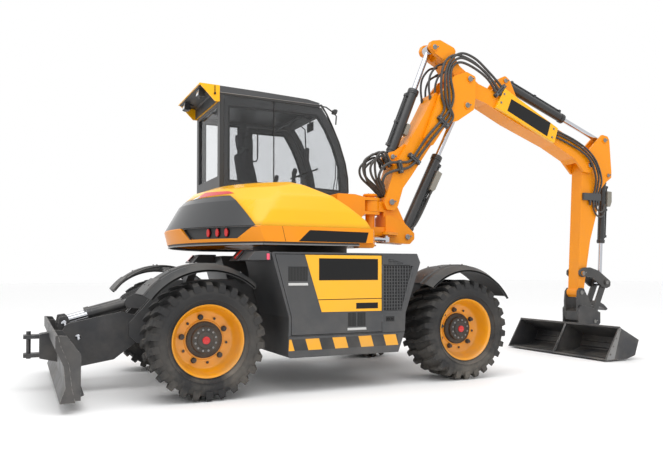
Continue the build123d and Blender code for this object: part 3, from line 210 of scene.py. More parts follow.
def finish_material(
    name, colour, second=None, roughness=0.4, spread=0.12, metallic=0.0, grain=300.0, bump=0.05, tone=2.0,
    coat=0.0, wear=0.0, worn=None, dust=0.0, reach=1.2, specular=0.5, rounded=0.0,
):
    """A painted, cast, plastic or rubber surface: tone, rubbed corners and dust, each from its group."""
    colour = linear(*colour)
    material = bpy.data.materials.new(name)
    material.use_nodes = True
    tree = material.node_tree
    tree.nodes.clear()
    out = node(tree, "ShaderNodeOutputMaterial")
    shader = node(tree, "ShaderNodeBsdfPrincipled", {
        "Metallic": metallic, "Coat Weight": coat, "Coat Roughness": 0.08, "Specular IOR Level": specular,
    })
    surface = node(tree, "ShaderNodeGroup", {
        "Colour": colour, "Second Colour": linear(*second) if second else shaded(colour, SECOND_SHADE),
        "Tone Scale": tone, "Grain Scale": grain, "Roughness": roughness, "Spread": spread,
    }, node_tree=TONE)
    last, rough = surface.outputs["Colour"], surface.outputs["Roughness"]
    if wear:
        worn_edge = node(tree, "ShaderNodeGroup", {
            "Worn Colour": linear(*worn) if worn else BARE_METAL, "Amount": wear,
        }, node_tree=EDGE_WEAR)
        wire(tree, (last, worn_edge.inputs["Colour"]))
        last = worn_edge.outputs["Colour"]
    if dust:
        dirt = node(tree, "ShaderNodeGroup", {"Amount": dust, "Ground Reach": reach}, node_tree=ROAD_DIRT)
        wire(tree, (last, dirt.inputs["Colour"]))
        last = dirt.outputs["Colour"]
        rough = maths(tree, "ADD", rough, maths(tree, "MULTIPLY", dirt.outputs["Mask"], 0.35), True)
    raised = node(tree, "ShaderNodeBump", {"Strength": bump, "Distance": 0.002})
    if rounded:
        soft_edge = node(tree, "ShaderNodeBevel", {"Radius": rounded}, samples=8)
        wire(tree, (soft_edge.outputs[0], raised.inputs["Normal"]))
    wire(
        tree, (last, shader.inputs["Base Color"]), (rough, shader.inputs["Roughness"]),
        (surface.outputs["Grain"], raised.inputs["Height"]), (raised.outputs[0], shader.inputs["Normal"]),
        (shader.outputs[0], out.inputs[0]),
    )
    return material


def lit_material(name, colour, strength, roughness=0.15):
    """A lamp lens: tinted plastic with a faint light behind it; on the reflector and hub caps it is a painted
    glow.
    """
    material = finish_material(name, colour, roughness=roughness, coat=0.6, bump=0.02, grain=90)
    shader = next(n for n in material.node_tree.nodes if n.type == "BSDF_PRINCIPLED")
    fill_in(shader, {"Emission Color": linear(*colour), "Emission Strength": strength})
    return material


def glass_material(name, tint, roughness, bending, smears):
    """Clear tinted glass with faint smears."""
    material = bpy.data.materials.new(name)
    material.use_nodes = True
    tree = material.node_tree
    shader = next(n for n in tree.nodes if n.type == "BSDF_PRINCIPLED")
    fill_in(shader, {"Base Color": linear(*tint), "Transmission Weight": 1.0, "IOR": bending})
    smear = node(tree, "ShaderNodeTexNoise", {"Scale": 3.5, "Detail": 5})
    where = node(tree, "ShaderNodeTexCoord")
    wire(tree, (where.outputs["Object"], smear.inputs["Vector"]))
    rough = maths(tree, "ADD", maths(tree, "MULTIPLY", smear.outputs["Fac"], smears), roughness)
    wire(tree, (rough, shader.inputs["Roughness"]))
    return material


def striped_material(name, first, second, period, lean, offset):
    """Slanted bands across X, leaning as they rise, as on a warning strip."""
    material = finish_material(name, first, roughness=0.38, coat=0.3, dust=0.35, reach=1.4)
    tree = material.node_tree
    surface = next(n for n in tree.nodes if n.type == "GROUP" and n.node_tree == TONE)
    where = node(tree, "ShaderNodeTexCoord")
    split = node(tree, "ShaderNodeSeparateXYZ")
    wire(tree, (where.outputs["Object"], split.inputs[0]))
    along = maths(tree, "ADD", split.outputs["X"], maths(tree, "MULTIPLY", split.outputs["Z"], lean))
    step = maths(tree, "FRACT", maths(tree, "DIVIDE", maths(tree, "ADD", along, offset), period), None)
    band = maths(tree, "GREATER_THAN", step, 0.5)
    for target, shade in (("Colour", 1.0), ("Second Colour", 0.86)):
        mix = node(tree, "ShaderNodeMix", data_type="RGBA")
        for side, colour in (("A", first), ("B", second)):
            mix.inputs[side].default_value = shaded(linear(*colour), shade)
        wire(tree, (band, mix.inputs["Factor"]), (mix.outputs["Result"], surface.inputs[target]))
    return material


YELLOW = (250, 184, 6)
GOLD = (243, 152, 4)
PAINT_YELLOW = finish_material("bright_yellow_paint", YELLOW, (240, 172, 4), roughness=0.3, coat=0.3,
                               tone=1.2, wear=0.25, worn=(190, 150, 60), dust=0.12, reach=1.8,
                               specular=0.3)
PAINT_HOOD = finish_material("hood_yellow_paint", YELLOW, (240, 172, 4), roughness=0.28, coat=0.3,
                             tone=1.2, dust=0.08, reach=1.8, specular=0.3, rounded=0.075)
PAINT_GOLD = finish_material("golden_yellow_paint", GOLD, (230, 136, 2), roughness=0.38, coat=0.15,
                             tone=1.6, wear=0.35, worn=(150, 110, 60), dust=0.16, reach=2.4, specular=0.25)
PAINT_RIM = finish_material("rim_yellow_paint", (245, 168, 12), (230, 148, 8), roughness=0.34,
                            coat=0.35, wear=0.4, worn=(150, 110, 60), dust=0.5, reach=1.0)
PAINT_GREY = finish_material("dark_grey_paint", (70, 71, 73), (58, 59, 61), roughness=0.46,
                             tone=1.4, wear=0.4, worn=(120, 120, 122), dust=0.3, reach=1.6)
PAINT_CHARCOAL = finish_material("charcoal_paint", (54, 55, 57), (44, 45, 47), roughness=0.34,
                                 coat=0.15, wear=0.2, worn=(120, 120, 122))
PAINT_BLACK = finish_material("black_steel_paint", (44, 45, 47), (34, 35, 37), roughness=0.38,
                              coat=0.15, wear=0.5, worn=(120, 118, 114), dust=0.3, reach=2.5)
BUCKET_STEEL = finish_material("worn_bucket_steel", (72, 73, 76), (50, 50, 52), roughness=0.45,
                               metallic=0.35, spread=0.3, tone=5, grain=120, bump=0.12, wear=0.85,
                               worn=(165, 162, 158), dust=0.45, reach=1.2)
CAST = finish_material("cast_iron", (62, 60, 58), (46, 44, 42), roughness=0.62, metallic=0.2,
                       grain=160, bump=0.35, wear=0.4, worn=(110, 106, 100), dust=0.5, reach=1.0)
CHROME = finish_material("polished_rod", (205, 207, 212), (182, 184, 190), roughness=0.12,
                         spread=0.05, metallic=1.0, bump=0.01, grain=40)
STEEL = finish_material("plated_steel", (150, 150, 152), (120, 118, 112), roughness=0.32,
                        metallic=0.9, bump=0.05, wear=0.2, worn=(200, 200, 200))
PLASTIC = finish_material("moulded_black_plastic", (48, 49, 50), (40, 41, 42), roughness=0.52,
                          grain=420, bump=0.3, dust=0.3, reach=1.6)
RUBBER = finish_material("tyre_rubber", (38, 38, 39), (29, 29, 30), roughness=0.74, spread=0.2,
                         tone=6, grain=200, bump=0.25, dust=0.75, reach=0.9)
HOSE = finish_material("hose_rubber", (66, 64, 62), (50, 48, 47), roughness=0.46, grain=700,
                       bump=0.25, dust=0.15, reach=3)
SEAL = finish_material("window_seal", (24, 24, 25), roughness=0.6, grain=500, bump=0.2)
BLANK_PLATE = finish_material("blank_black_plate", (12, 12, 13), (17, 17, 18), roughness=0.34,
                              coat=0.1, specular=0.25)
# The gold paint made darker and matte: painted shade on the deck's underside
SHADED_BELLY = finish_material("shaded_belly_paint", (214, 118, 20), (170, 92, 18), roughness=0.95, specular=0.0)
BLOCK = finish_material("valve_block", (150, 146, 136), (122, 118, 108), roughness=0.5, metallic=0.3,
                        grain=160, bump=0.2, wear=0.4, dust=0.3, reach=4)
LENS_RED = lit_material("red_lens", (190, 6, 10), 0.2)
# The rose reflector is no lamp: its faint emission is a painted glow
GLOWING_ROSE_LENS = lit_material("rose_reflector_painted_glow", (236, 70, 96), 0.5)
LENS_CLEAR = finish_material("clear_lens", (205, 210, 215), (160, 165, 172), roughness=0.08,
                             metallic=0.6, coat=1.0, grain=60, bump=0.2)
# Pale trim for the step nosings; on the door's lips this paleness is a painted highlight
PALE = finish_material("pale_trim", (205, 205, 203), (180, 180, 178), roughness=0.4)
GLASS = glass_material("tinted_glass", (220, 221, 222), 0.0, 1.1, 0.006)
GLASS_SIDE = glass_material("reflecting_side_glass", (218, 219, 220), 0.0, 1.38, 0.003)
HAZARD = striped_material("warning_strip", (28, 28, 29), (245, 172, 16), 0.2685, 0.3, 0.168)
PAINT_FIELD = finish_material("field_yellow_paint", (248, 182, 0), (243, 172, 0), roughness=0.3,
                              coat=0.4, tone=1.0, dust=0.12, reach=1.8)
GUARD_FLAP = finish_material("flap_rubber", (92, 92, 92), (78, 78, 78), roughness=0.6, grain=260,
                             bump=0.3, dust=0.4, reach=1.8)
NET = finish_material("dark_net", (24, 24, 25), (34, 34, 35), roughness=0.7, grain=300, bump=0.4)
CLOTH = finish_material("seat_cloth", (56, 57, 60), (44, 45, 48), roughness=0.9, grain=900,
                        bump=0.6, specular=0.2)

node_materials = {
    "yellow_paint": PAINT_YELLOW, "gold_paint": PAINT_GOLD, "chassis_paint": PAINT_GREY,
    "charcoal_paint": PAINT_CHARCOAL, "tyre": RUBBER, "chrome": CHROME, "black_steel": PAINT_BLACK,
    "bucket_steel": BUCKET_STEEL, "dark_plastic": PLASTIC, "cast_metal": CAST, "glass": GLASS,
    "seat_cloth": CLOTH, "lamp_red": LENS_RED, "lamp_clear": LENS_CLEAR,
}
for part in frame["record"]["subparts"]:
    surface = node_materials[part["material_slot"]]
    if part["node"].startswith("rim_"):
        surface = PAINT_RIM
    elif part["node"] == "work_lamps":
        surface = PLASTIC
    elif part["node"] == "hood":
        surface = PAINT_HOOD
    for holder in frame["nodes"][part["node"]].material_slots:
        holder.material = surface


# Shaping helpers, all sizes in millimetres

def place_on(axis, first, second, along):
    """A point from an outline's two values and its place along the axis that the outline is drawn across."""
    if axis == "X":
        point = (along, first, second)
    elif axis == "Y":
        point = (first, along, second)
    else:
        point = (first, second, along)
    return Vector(point) * MM


def prism(form, outline, axis, low, high):
    """A straight body with that outline between two places along the axis."""
    ends = [[form.verts.new(place_on(axis, u, v, along)) for u, v in outline] for along in (low, high)]
    count = len(outline)
    form.faces.new(ends[0])
    form.faces.new(list(reversed(ends[1])))
    for i in range(count):
        j = (i + 1) % count
        form.faces.new((ends[0][i], ends[1][i], ends[1][j], ends[0][j]))


def brick(form, low, high):
    """A rectangular body between two corners."""
    prism(form, [(low[0], low[2]), (high[0], low[2]), (high[0], high[2]), (low[0], high[2])], "Y", low[1],
          high[1])


def turned(form, profile, centre, direction, steps=40, closed=False):
    """A body turned about a line: the profile lists places along the line and radii."""
    line = Vector(direction).normalized()
    across = line.orthogonal().normalized()
    other = line.cross(across)
    origin = Vector(centre) * MM
    rings = []
    for along, radius in profile:
        middle = origin + line * (along * MM)
        if radius < 1e-6:
            rings.append([form.verts.new(middle)])
        else:
            rings.append([
                form.verts.new(middle + (across * math.cos(turn) + other * math.sin(turn)) * (radius * MM))
                for turn in (2 * math.pi * k / steps for k in range(steps))
            ])
    pairs = list(zip(rings, rings[1:]))
    if closed:
        pairs.append((rings[-1], rings[0]))
    for start, end in pairs:
        for k in range(steps):
            n = (k + 1) % steps
            corners = []
            for ring, index in ((start, k), (start, n), (end, n), (end, k)):
                corner = ring[index] if len(ring) > 1 else ring[0]
                if corner not in corners:
                    corners.append(corner)
            if len(corners) > 2:
                form.faces.new(corners)


def arc_band(form, centre, inner, outer, start, end, axis, low, high, steps=40):
    """Part of a ring between two angles, with square ends."""
    turns = [math.radians(start + (end - start) * k / steps) for k in range(steps + 1)]
    outside = [(centre[0] + outer * math.cos(t), centre[1] + outer * math.sin(t)) for t in turns]
    inside = [(centre[0] + inner * math.cos(t), centre[1] + inner * math.sin(t)) for t in turns]
    rows = [
        [form.verts.new(place_on(axis, u, v, along)) for u, v in line]
        for line, along in ((inside, low), (outside, low), (outside, high), (inside, high))
    ]
    for a, b in ((0, 1), (1, 2), (2, 3), (3, 0)):
        for k in range(steps):
            form.faces.new((rows[a][k], rows[b][k], rows[b][k + 1], rows[a][k + 1]))
    form.faces.new([row[0] for row in rows])
    form.faces.new([row[-1] for row in reversed(rows)])


def sweep(form, points, radius, sides=10):
    """A round bar along straight runs, with its ends closed."""
    path = [Vector(p) * MM for p in points]
    rings = []
    for index, here in enumerate(path):
        before = path[max(index - 1, 0)]
        after = path[min(index + 1, len(path) - 1)]
        way = (after - before).normalized()
        if index == 0:
            across = way.orthogonal().normalized()
        else:
            across = (across - way * across.dot(way)).normalized()
        other = way.cross(across)
        rings.append([
            form.verts.new(here + (across * math.cos(t) + other * math.sin(t)) * (radius * MM))
            for t in (2 * math.pi * k / sides for k in range(sides))
        ])
    for start, end in zip(rings, rings[1:]):
        for k in range(sides):
            n = (k + 1) % sides
            form.faces.new((start[k], start[n], end[n], end[k]))
    form.faces.new(list(reversed(rings[0])))
    form.faces.new(rings[-1])


def mesh_of(name, form):
    """The form as a mesh; the form is used up."""
    mesh = bpy.data.meshes.new(name)
    form.to_mesh(mesh)
    form.free()
    return mesh


def shown(name, data):
    """An object of that data, in the scene."""
    made = bpy.data.objects.new(name, data)
    scene.collection.objects.link(made)
    return made


def finish(name, form, material, body, bevel=0.0, smooth=35, segments=2, replaces=(), slot=None):
    """Turns a form into a named piece that rides on a body."""
    bmesh.ops.remove_doubles(form, verts=form.verts, dist=1e-6)
    bmesh.ops.recalc_face_normals(form, faces=form.faces)
    return adopt(name, mesh_of(name, form), material, body, bevel, smooth, segments, replaces)


def piece(name, material, body, shapes, *looks, **more):
    """A piece of plain shapes, each given as its maker and that maker's sizes."""
    form = bmesh.new()
    for make, *sizes in shapes:
        make(form, *sizes)
    return finish(name, form, material, body, *looks, **more)


def adopt(name, mesh, material, body, bevel=0.0, smooth=35, segments=2, replaces=()):
    mesh.materials.clear()
    mesh.materials.append(material)
    mesh.polygons.foreach_set("use_smooth", [True] * len(mesh.polygons))
    mesh.set_sharp_from_angle(angle=math.radians(smooth))
    made = shown(name, mesh)
    if bevel:
        edge = made.modifiers.new("rounded_edges", "BEVEL")
        edge.width = bevel * MM
        edge.segments = segments
        edge.limit_method = "ANGLE"
        edge.angle_limit = math.radians(40)
        edge.harden_normals = True
    if body:
        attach(made, body)
    if replaces:
        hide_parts(*replaces)
    return made


def baked(name, carrier, tree, values, material, body, smooth=35, replaces=()):
    """Runs a geometry tree on a carrier mesh and keeps the result as a plain piece."""
    source = shown(name + "_source", carrier)
    builder = source.modifiers.new("builder", "NODES")
    builder.node_group = tree
    for item in tree.interface.items_tree:
        if item.item_type == "SOCKET" and item.in_out == "INPUT" and item.name in values:
            builder[item.identifier] = values[item.name]
    source.update_tag()
    bpy.context.view_layer.update()
    solved = source.evaluated_get(bpy.context.evaluated_depsgraph_get())
    mesh = bpy.data.meshes.new_from_object(solved)
    mesh.name = name
    bpy.data.objects.remove(source)
    return adopt(name, mesh, material, body, 0.0, smooth, 2, replaces)


def geometry_tree(name, inputs):
    """An empty geometry tree with a mesh coming in, named sizes and a mesh going out."""
    tree = bpy.data.node_groups.new(name, "GeometryNodeTree")
    socket(tree, "Geometry", "NodeSocketGeometry", "INPUT")
    for label, kind, value in inputs:
        item = tree.interface.new_socket(label, in_out="INPUT", socket_type=kind)
        if value is not None:
            item.default_value = value
    socket(tree, "Geometry", "NodeSocketGeometry", "OUTPUT")
    ins, outs = node(tree, "NodeGroupInput"), node(tree, "NodeGroupOutput")
    real = node(tree, "GeometryNodeRealizeInstances")
    paint = node(tree, "GeometryNodeSetMaterial")
    wire(
        tree, (real.outputs[0], paint.inputs["Geometry"]),
        (ins.outputs["Material"], paint.inputs["Material"]),
        (paint.outputs[0], outs.inputs[0]),
    )
    return tree, ins, real


def bolt_tree():
    """A hexagon head on a washer at each point, standing along the point's own direction."""
    tree, ins, real = geometry_tree("hexagon_bolts", [
        ("Head Radius", "NodeSocketFloat", 0.012), ("Head Height", "NodeSocketFloat", 0.008),
        ("Material", "NodeSocketMaterial", None),
    ])
    head = node(tree, "GeometryNodeMeshCylinder", {"Vertices": 6})
    washer = node(tree, "GeometryNodeMeshCylinder", {"Vertices": 16})
    wide = node(tree, "ShaderNodeMath", operation="MULTIPLY")
    wide.inputs[1].default_value = 1.32
    thin = node(tree, "ShaderNodeMath", operation="MULTIPLY")
    thin.inputs[1].default_value = 0.25
    lift = node(tree, "ShaderNodeCombineXYZ")
    raised = node(tree, "GeometryNodeTransform")
    half = node(tree, "ShaderNodeMath", operation="MULTIPLY")
    half.inputs[1].default_value = 0.62
    both = node(tree, "GeometryNodeJoinGeometry")
    way = node(tree, "GeometryNodeInputNamedAttribute", {"Name": "way"}, data_type="FLOAT_VECTOR")
    aim = node(tree, "FunctionNodeAlignRotationToVector", axis="Z")
    copies = node(tree, "GeometryNodeInstanceOnPoints")
    wire(
        tree, (ins.outputs["Head Radius"], head.inputs["Radius"]),
        (ins.outputs["Head Height"], head.inputs["Depth"]),
        (ins.outputs["Head Radius"], wide.inputs[0]), (wide.outputs[0], washer.inputs["Radius"]),
        (ins.outputs["Head Height"], thin.inputs[0]), (thin.outputs[0], washer.inputs["Depth"]),
        (ins.outputs["Head Height"], half.inputs[0]), (half.outputs[0], lift.inputs["Z"]),
        (head.outputs["Mesh"], raised.inputs["Geometry"]), (lift.outputs[0], raised.inputs["Translation"]),
        (raised.outputs[0], both.inputs[0]), (washer.outputs["Mesh"], both.inputs[0]),
        (ins.outputs["Geometry"], copies.inputs["Points"]), (both.outputs[0], copies.inputs["Instance"]),
        (way.outputs["Attribute"], aim.inputs["Vector"]), (aim.outputs[0], copies.inputs["Rotation"]),
        (copies.outputs[0], real.inputs[0]),
    )
    return tree


BOLTS = bolt_tree()


def bolts(name, places, radius, material, body, height=None):
    """Hexagon bolts; each place is a point and the direction its head looks to."""
    carrier = bpy.data.meshes.new(name + "_places")
    carrier.from_pydata([tuple(c * MM for c in point) for point, _ in places], [], [])
    ways = carrier.attributes.new("way", "FLOAT_VECTOR", "POINT")
    for index, (_, way) in enumerate(places):
        ways.data[index].vector = Vector(way).normalized()
    return baked(name, carrier, BOLTS, {
        "Head Radius": radius * MM, "Head Height": (height or radius * 0.8) * MM, "Material": material,
    }, material, body)


def bar_row_tree():
    """A row of equal bars at even steps."""
    tree, ins, real = geometry_tree("bar_row", [
        ("Start", "NodeSocketVector", (0, 0, 0)), ("Step", "NodeSocketVector", (0.02, 0, 0)),
        ("Count", "NodeSocketInt", 8), ("Bar Size", "NodeSocketVector", (0.01, 0.01, 0.1)),
        ("Material", "NodeSocketMaterial", None),
    ])
    line = node(tree, "GeometryNodeMeshLine")
    bar = node(tree, "GeometryNodeMeshCube")
    copies = node(tree, "GeometryNodeInstanceOnPoints")
    wire(
        tree, (ins.outputs["Count"], line.inputs["Count"]),
        (ins.outputs["Start"], line.inputs["Start Location"]),
        (ins.outputs["Step"], line.inputs["Offset"]), (ins.outputs["Bar Size"], bar.inputs["Size"]),
        (line.outputs[0], copies.inputs["Points"]), (bar.outputs["Mesh"], copies.inputs["Instance"]),
        (copies.outputs[0], real.inputs[0]),
    )
    return tree


BAR_ROW = bar_row_tree()


def bar_row(name, start, step, count, size, material, body):
    """Equal bars from a start, each a step from the last."""
    carrier = bpy.data.meshes.new(name + "_start")
    carrier.from_pydata([(0, 0, 0)], [], [])
    return baked(name, carrier, BAR_ROW, {
        "Start": [c * MM for c in start], "Step": [c * MM for c in step], "Count": count,
        "Bar Size": [c * MM for c in size], "Material": material,
    }, material, body)


def ring_of(centre, way, radius, count, turn=0.0):
    """Places for bolts on a circle about a line."""
    line = Vector(way).normalized()
    across = line.orthogonal().normalized()
    other = line.cross(across)
    places = []
    for k in range(count):
        t = 2 * math.pi * k / count + math.radians(turn)
        point = Vector(centre) + (across * math.cos(t) + other * math.sin(t)) * radius
        places.append((tuple(point), way))
    return places


# Wheels

WHEELS = [
    # name, centre X, side
    ("front_left", 1325, 1), ("front_right", 1325, -1), ("rear_left", -1325, 1), ("rear_right", -1325, -1),
]
AXLE_HEIGHT = 505
TYRE_MIDDLE = 970
CARCASS = [
    # across the tyre, radius
    (-207, 303), (-214, 322), (-238, 345), (-246, 352), (-247, 372), (-250, 380), (-250, 402), (-244, 430),
    (-228, 455), (-195, 466), (-100, 471), (0, 473), (100, 471), (195, 466), (228, 455), (244, 430),
    (250, 402),
    (250, 380), (247, 372), (246, 352), (238, 345), (214, 322), (207, 303), (150, 292), (-150, 292),
]
LUG_SECTIONS = [
    # across, outside radius, inside radius, sideways shift, half width outside, half width inside
    (12, 501, 466, -30, 15, 19), (60, 502.5, 466, -27, 19, 24), (120, 503.5, 464, -8, 20, 26),
    (180, 503, 460, 14, 22, 28), (226, 497, 448, 26, 25, 31), (249, 474, 432, 28, 26, 31),
    (250.0, 440, 415, 28, 24, 28),
]


def tread_lug():
    """One chunky slanted lug, drawn about the point where it stands on a circle."""
    form = bmesh.new()
    rows = []
    for across, outer, inner, shift, top, foot in LUG_SECTIONS:
        rows.append([
            form.verts.new(Vector((across, y, z)) * MM) for y, z in (
                (shift - foot, inner), (shift - top, outer), (shift + top, outer), (shift + foot, inner),
            )
        ])
    for start, end in zip(rows, rows[1:]):
        for k in range(4):
            n = (k + 1) % 4
            form.faces.new((start[k], start[n], end[n], end[k]))
    form.faces.new(rows[0])
    form.faces.new(list(reversed(rows[-1])))
    bmesh.ops.recalc_face_normals(form, faces=form.faces)
    return shown("tread_lug", mesh_of("tread_lug", form))


def tread_tree():
    """Lugs round the tyre in two rows that lean to each other, half a step apart, joined to the carcass."""
    tree, ins, real = geometry_tree("tyre_tread", [
        ("Lug", "NodeSocketObject", None), ("Count", "NodeSocketInt", 26),
        ("Centre", "NodeSocketVector", (0, 0, 0)),
        ("Side", "NodeSocketFloat", 1.0), ("Material", "NodeSocketMaterial", None),
    ])
    shape = node(tree, "GeometryNodeObjectInfo")
    wire(tree, (ins.outputs["Lug"], shape.inputs["Object"]))
    gather = node(tree, "GeometryNodeJoinGeometry")
    step = maths(tree, "DIVIDE", 2 * math.pi, ins.outputs["Count"])
    for row in (1, -1):
        ring = node(tree, "GeometryNodeMeshCircle", {"Radius": 0.001})
        out = node(tree, "GeometryNodeInputPosition")
        radial = node(tree, "FunctionNodeAlignRotationToVector", axis="Z")
        across = node(tree, "FunctionNodeAlignRotationToVector", {"Vector": (0, 0, row)}, axis="X",
                      pivot_axis="Z")
        copies = node(tree, "GeometryNodeInstanceOnPoints")
        placed = node(tree, "GeometryNodeTransform")
        turn = node(tree, "ShaderNodeCombineXYZ", {"X": math.pi / 2})
        wire(
            tree, (ins.outputs["Count"], ring.inputs["Vertices"]), (ring.outputs[0], copies.inputs["Points"]),
            (shape.outputs["Geometry"], copies.inputs["Instance"]), (out.outputs[0], radial.inputs["Vector"]),
            (radial.outputs[0], across.inputs["Rotation"]), (across.outputs[0], copies.inputs["Rotation"]),
            (maths(tree, "MULTIPLY", step, 0.25 * row), turn.inputs["Y"]),
            (copies.outputs[0], placed.inputs["Geometry"]), (turn.outputs[0], placed.inputs["Rotation"]),
            (ins.outputs["Centre"], placed.inputs["Translation"]), (placed.outputs[0], gather.inputs[0]),
        )
    wire(tree, (ins.outputs["Geometry"], gather.inputs[0]), (gather.outputs[0], real.inputs[0]))
    return tree


TREAD = tread_tree()
lug_shape = tread_lug()
RIM_PROFILE = [
    # out from the tyre's middle, radius
    (-212, 262), (-212, 300), (-206, 306), (-198, 300), (-190, 291), (190, 291), (198, 300), (206, 308),
    (214, 312), (220, 310), (220, 304), (212, 298), (200, 289), (150, 283), (112, 276), (70, 262), (52, 250),
    (46, 236), (46, 176), (54, 168), (54, 0), (20, 0), (20, 236), (30, 258), (60, 272), (100, 278),
    (-190, 278),
]
HUB_PROFILE = [
    (40, 158), (66, 158), (74, 152), (80, 138), (84, 122), (112, 116), (118, 108), (120, 74), (128, 70),
    (132, 60),
    (132, 0),
]
for wheel_name, wheel_x, side in WHEELS:
    wheel = "wheel_" + wheel_name
    middle = (wheel_x, side * TYRE_MIDDLE, AXLE_HEIGHT)
    out = (0, side, 0)
    form = bmesh.new()
    turned(form, CARCASS, middle, out, 96, closed=True)
    for radius in (318, 352):
        for flank in (-1, 1):
            edge = 216 if radius == 318 else 247
            turned(form, [(flank * (edge - 6), radius + 5), (flank * (edge + 2), radius + 3),
                          (flank * (edge + 2), radius - 3), (flank * (edge - 6), radius - 5)],
                   middle, out, 72, closed=True)
    bmesh.ops.recalc_face_normals(form, faces=form.faces)
    carcass = mesh_of("carcass_" + wheel_name, form)
    baked("treaded_tyre_" + wheel_name, carcass, TREAD, {
        "Lug": lug_shape, "Count": 26, "Centre": tuple(c * MM for c in middle), "Material": RUBBER,
    }, RUBBER, wheel, 30, ("tyre_" + wheel_name,))
    form = bmesh.new()
    turned(form, RIM_PROFILE, middle, out, 72, closed=True)
    finish("deep_rim_" + wheel_name, form, PAINT_RIM, wheel, smooth=38, replaces=("rim_" + wheel_name,),
           slot="yellow_paint")
    piece("hub_drum_" + wheel_name, CAST, wheel, [
        (turned, HUB_PROFILE, middle, out, 48),
    ], smooth=38, slot="cast_metal")
    # Red caps in the red lens material: its faint emission is a painted glow, as the caps are no lamps
    piece("hub_cap_" + wheel_name, LENS_RED, wheel, [
        (turned, [(126, 34), (142, 32), (146, 26), (148, 0)], middle, out, 32),
    ], smooth=38)
    face = (wheel_x, side * (TYRE_MIDDLE + 55), AXLE_HEIGHT)
    bolts("wheel_nuts_" + wheel_name, ring_of(face, out, 196, 5, 18), 19, CAST, wheel, 26)
    bolts("small_rim_bolts_" + wheel_name, ring_of(face, out, 200, 5, 54), 9, CAST, wheel, 6)
    face = (wheel_x, side * (TYRE_MIDDLE + 119), AXLE_HEIGHT)
    bolts("hub_bolts_" + wheel_name, ring_of(face, out, 92, 12), 7, STEEL, wheel)
bpy.data.objects.remove(lug_shape)


# Chassis: plates, nets, bars, grille and steps

def plate_on_wall(name, outline, proud, material, body, side=-1, depth=0.5, bevel=0.8, wall=1200, slot=None):
    """A thin plate on a side wall of the chassis, standing proud of it by so much."""
    form = bmesh.new()
    prism(form, outline, "Y", side * (wall - depth), side * (wall + proud))
    return finish(name, form, material, body, bevel, slot=slot)


def framed(rear, front, low, high):
    return [(rear, low), (front, low), (front, high), (rear, high)]


# Yellow field on the engine door, with its blank plates and the line across it
DOOR_FIELD = [(-452, 1243), (336, 1243), (336, 721), (-287, 724)]
plate_on_wall("door_yellow_field", DOOR_FIELD, 2.5, PAINT_FIELD, "engine_door", slot="yellow_paint")
plate_on_wall("door_blank_plate", [(-315, 1213), (297, 1211), (296, 1013), (-315, 1012)], 4, BLANK_PLATE,
              "engine_door", depth=-2)
plate_on_wall("door_blank_label", framed(64, 296, 746, 801), 3.6, BLANK_PLATE, "engine_door", depth=-2)
plate_on_wall("door_field_line", [(-322, 833), (336, 835), (336, 842), (-324, 840)], 3.2, BLANK_PLATE,
              "engine_door", depth=-2, bevel=0.3)
HANDLE_POCKETS = [
    # rear, front, low, high, number of bars behind the pocket's net
    (-613, -427, 1008, 1137, 13), (-21, 66, 584, 712, 6), (77, 164, 584, 712, 6),
]
for number, (rear, front, low, high, bars) in enumerate(HANDLE_POCKETS):
    plate_on_wall("pocket_net_%d" % number, framed(rear, front, low, high), 0.8, NET, "engine_door",
                  bevel=0.3)
    bar_row("pocket_bars_%d" % number, (rear + 8, -1201.2, (low + high) / 2),
            ((front - rear - 16) / (bars - 1), 0, 0), bars, (4, 2, high - low - 10), PLASTIC, "engine_door")

# Pale lips under the pockets: painted highlights along folded metal edges
for number, (rear, front, low, high) in enumerate(((-613, -425, 966, 990), (-26, 169, 548, 571))):
    piece("pale_lip_%d" % number, PALE, "engine_door", [
        (prism, [(-1199.5, low), (-1203, low), (-1210, low + 3), (-1210, low + 6), (-1203, high),
                 (-1199.5, high)], "X", rear, front),
    ], 0.8)


def square_mesh_tree():
    """A sheet with a square hole in each face of the carrier, given its thickness."""
    tree, ins, real = geometry_tree("square_mesh", [
        ("Hole Share", "NodeSocketFloat", 0.7), ("Thickness", "NodeSocketFloat", 0.004),
        ("Material", "NodeSocketMaterial", None),
    ])
    inset = node(tree, "GeometryNodeExtrudeMesh", {"Offset Scale": 0}, mode="FACES")
    shrink = node(tree, "GeometryNodeScaleElements", domain="FACE")
    punch = node(tree, "GeometryNodeDeleteGeometry", domain="FACE")
    thick = node(tree, "GeometryNodeExtrudeMesh", {"Individual": False}, mode="FACES")
    back = node(tree, "GeometryNodeFlipFaces")
    both = node(tree, "GeometryNodeJoinGeometry")
    weld = node(tree, "GeometryNodeMergeByDistance", {"Distance": 0.00002})
    wire(
        tree, (ins.outputs["Geometry"], inset.inputs["Mesh"]),
        (inset.outputs["Mesh"], shrink.inputs["Geometry"]),
        (inset.outputs["Top"], shrink.inputs["Selection"]),
        (ins.outputs["Hole Share"], shrink.inputs["Scale"]),
        (shrink.outputs[0], punch.inputs["Geometry"]), (inset.outputs["Top"], punch.inputs["Selection"]),
        (punch.outputs[0], thick.inputs["Mesh"]), (ins.outputs["Thickness"], thick.inputs["Offset Scale"]),
        (punch.outputs[0], back.inputs["Mesh"]), (thick.outputs["Mesh"], both.inputs[0]),
        (back.outputs[0], both.inputs[0]), (both.outputs[0], weld.inputs["Geometry"]),
        (weld.outputs[0], real.inputs[0]),
    )
    return tree


SQUARE_MESH = square_mesh_tree()


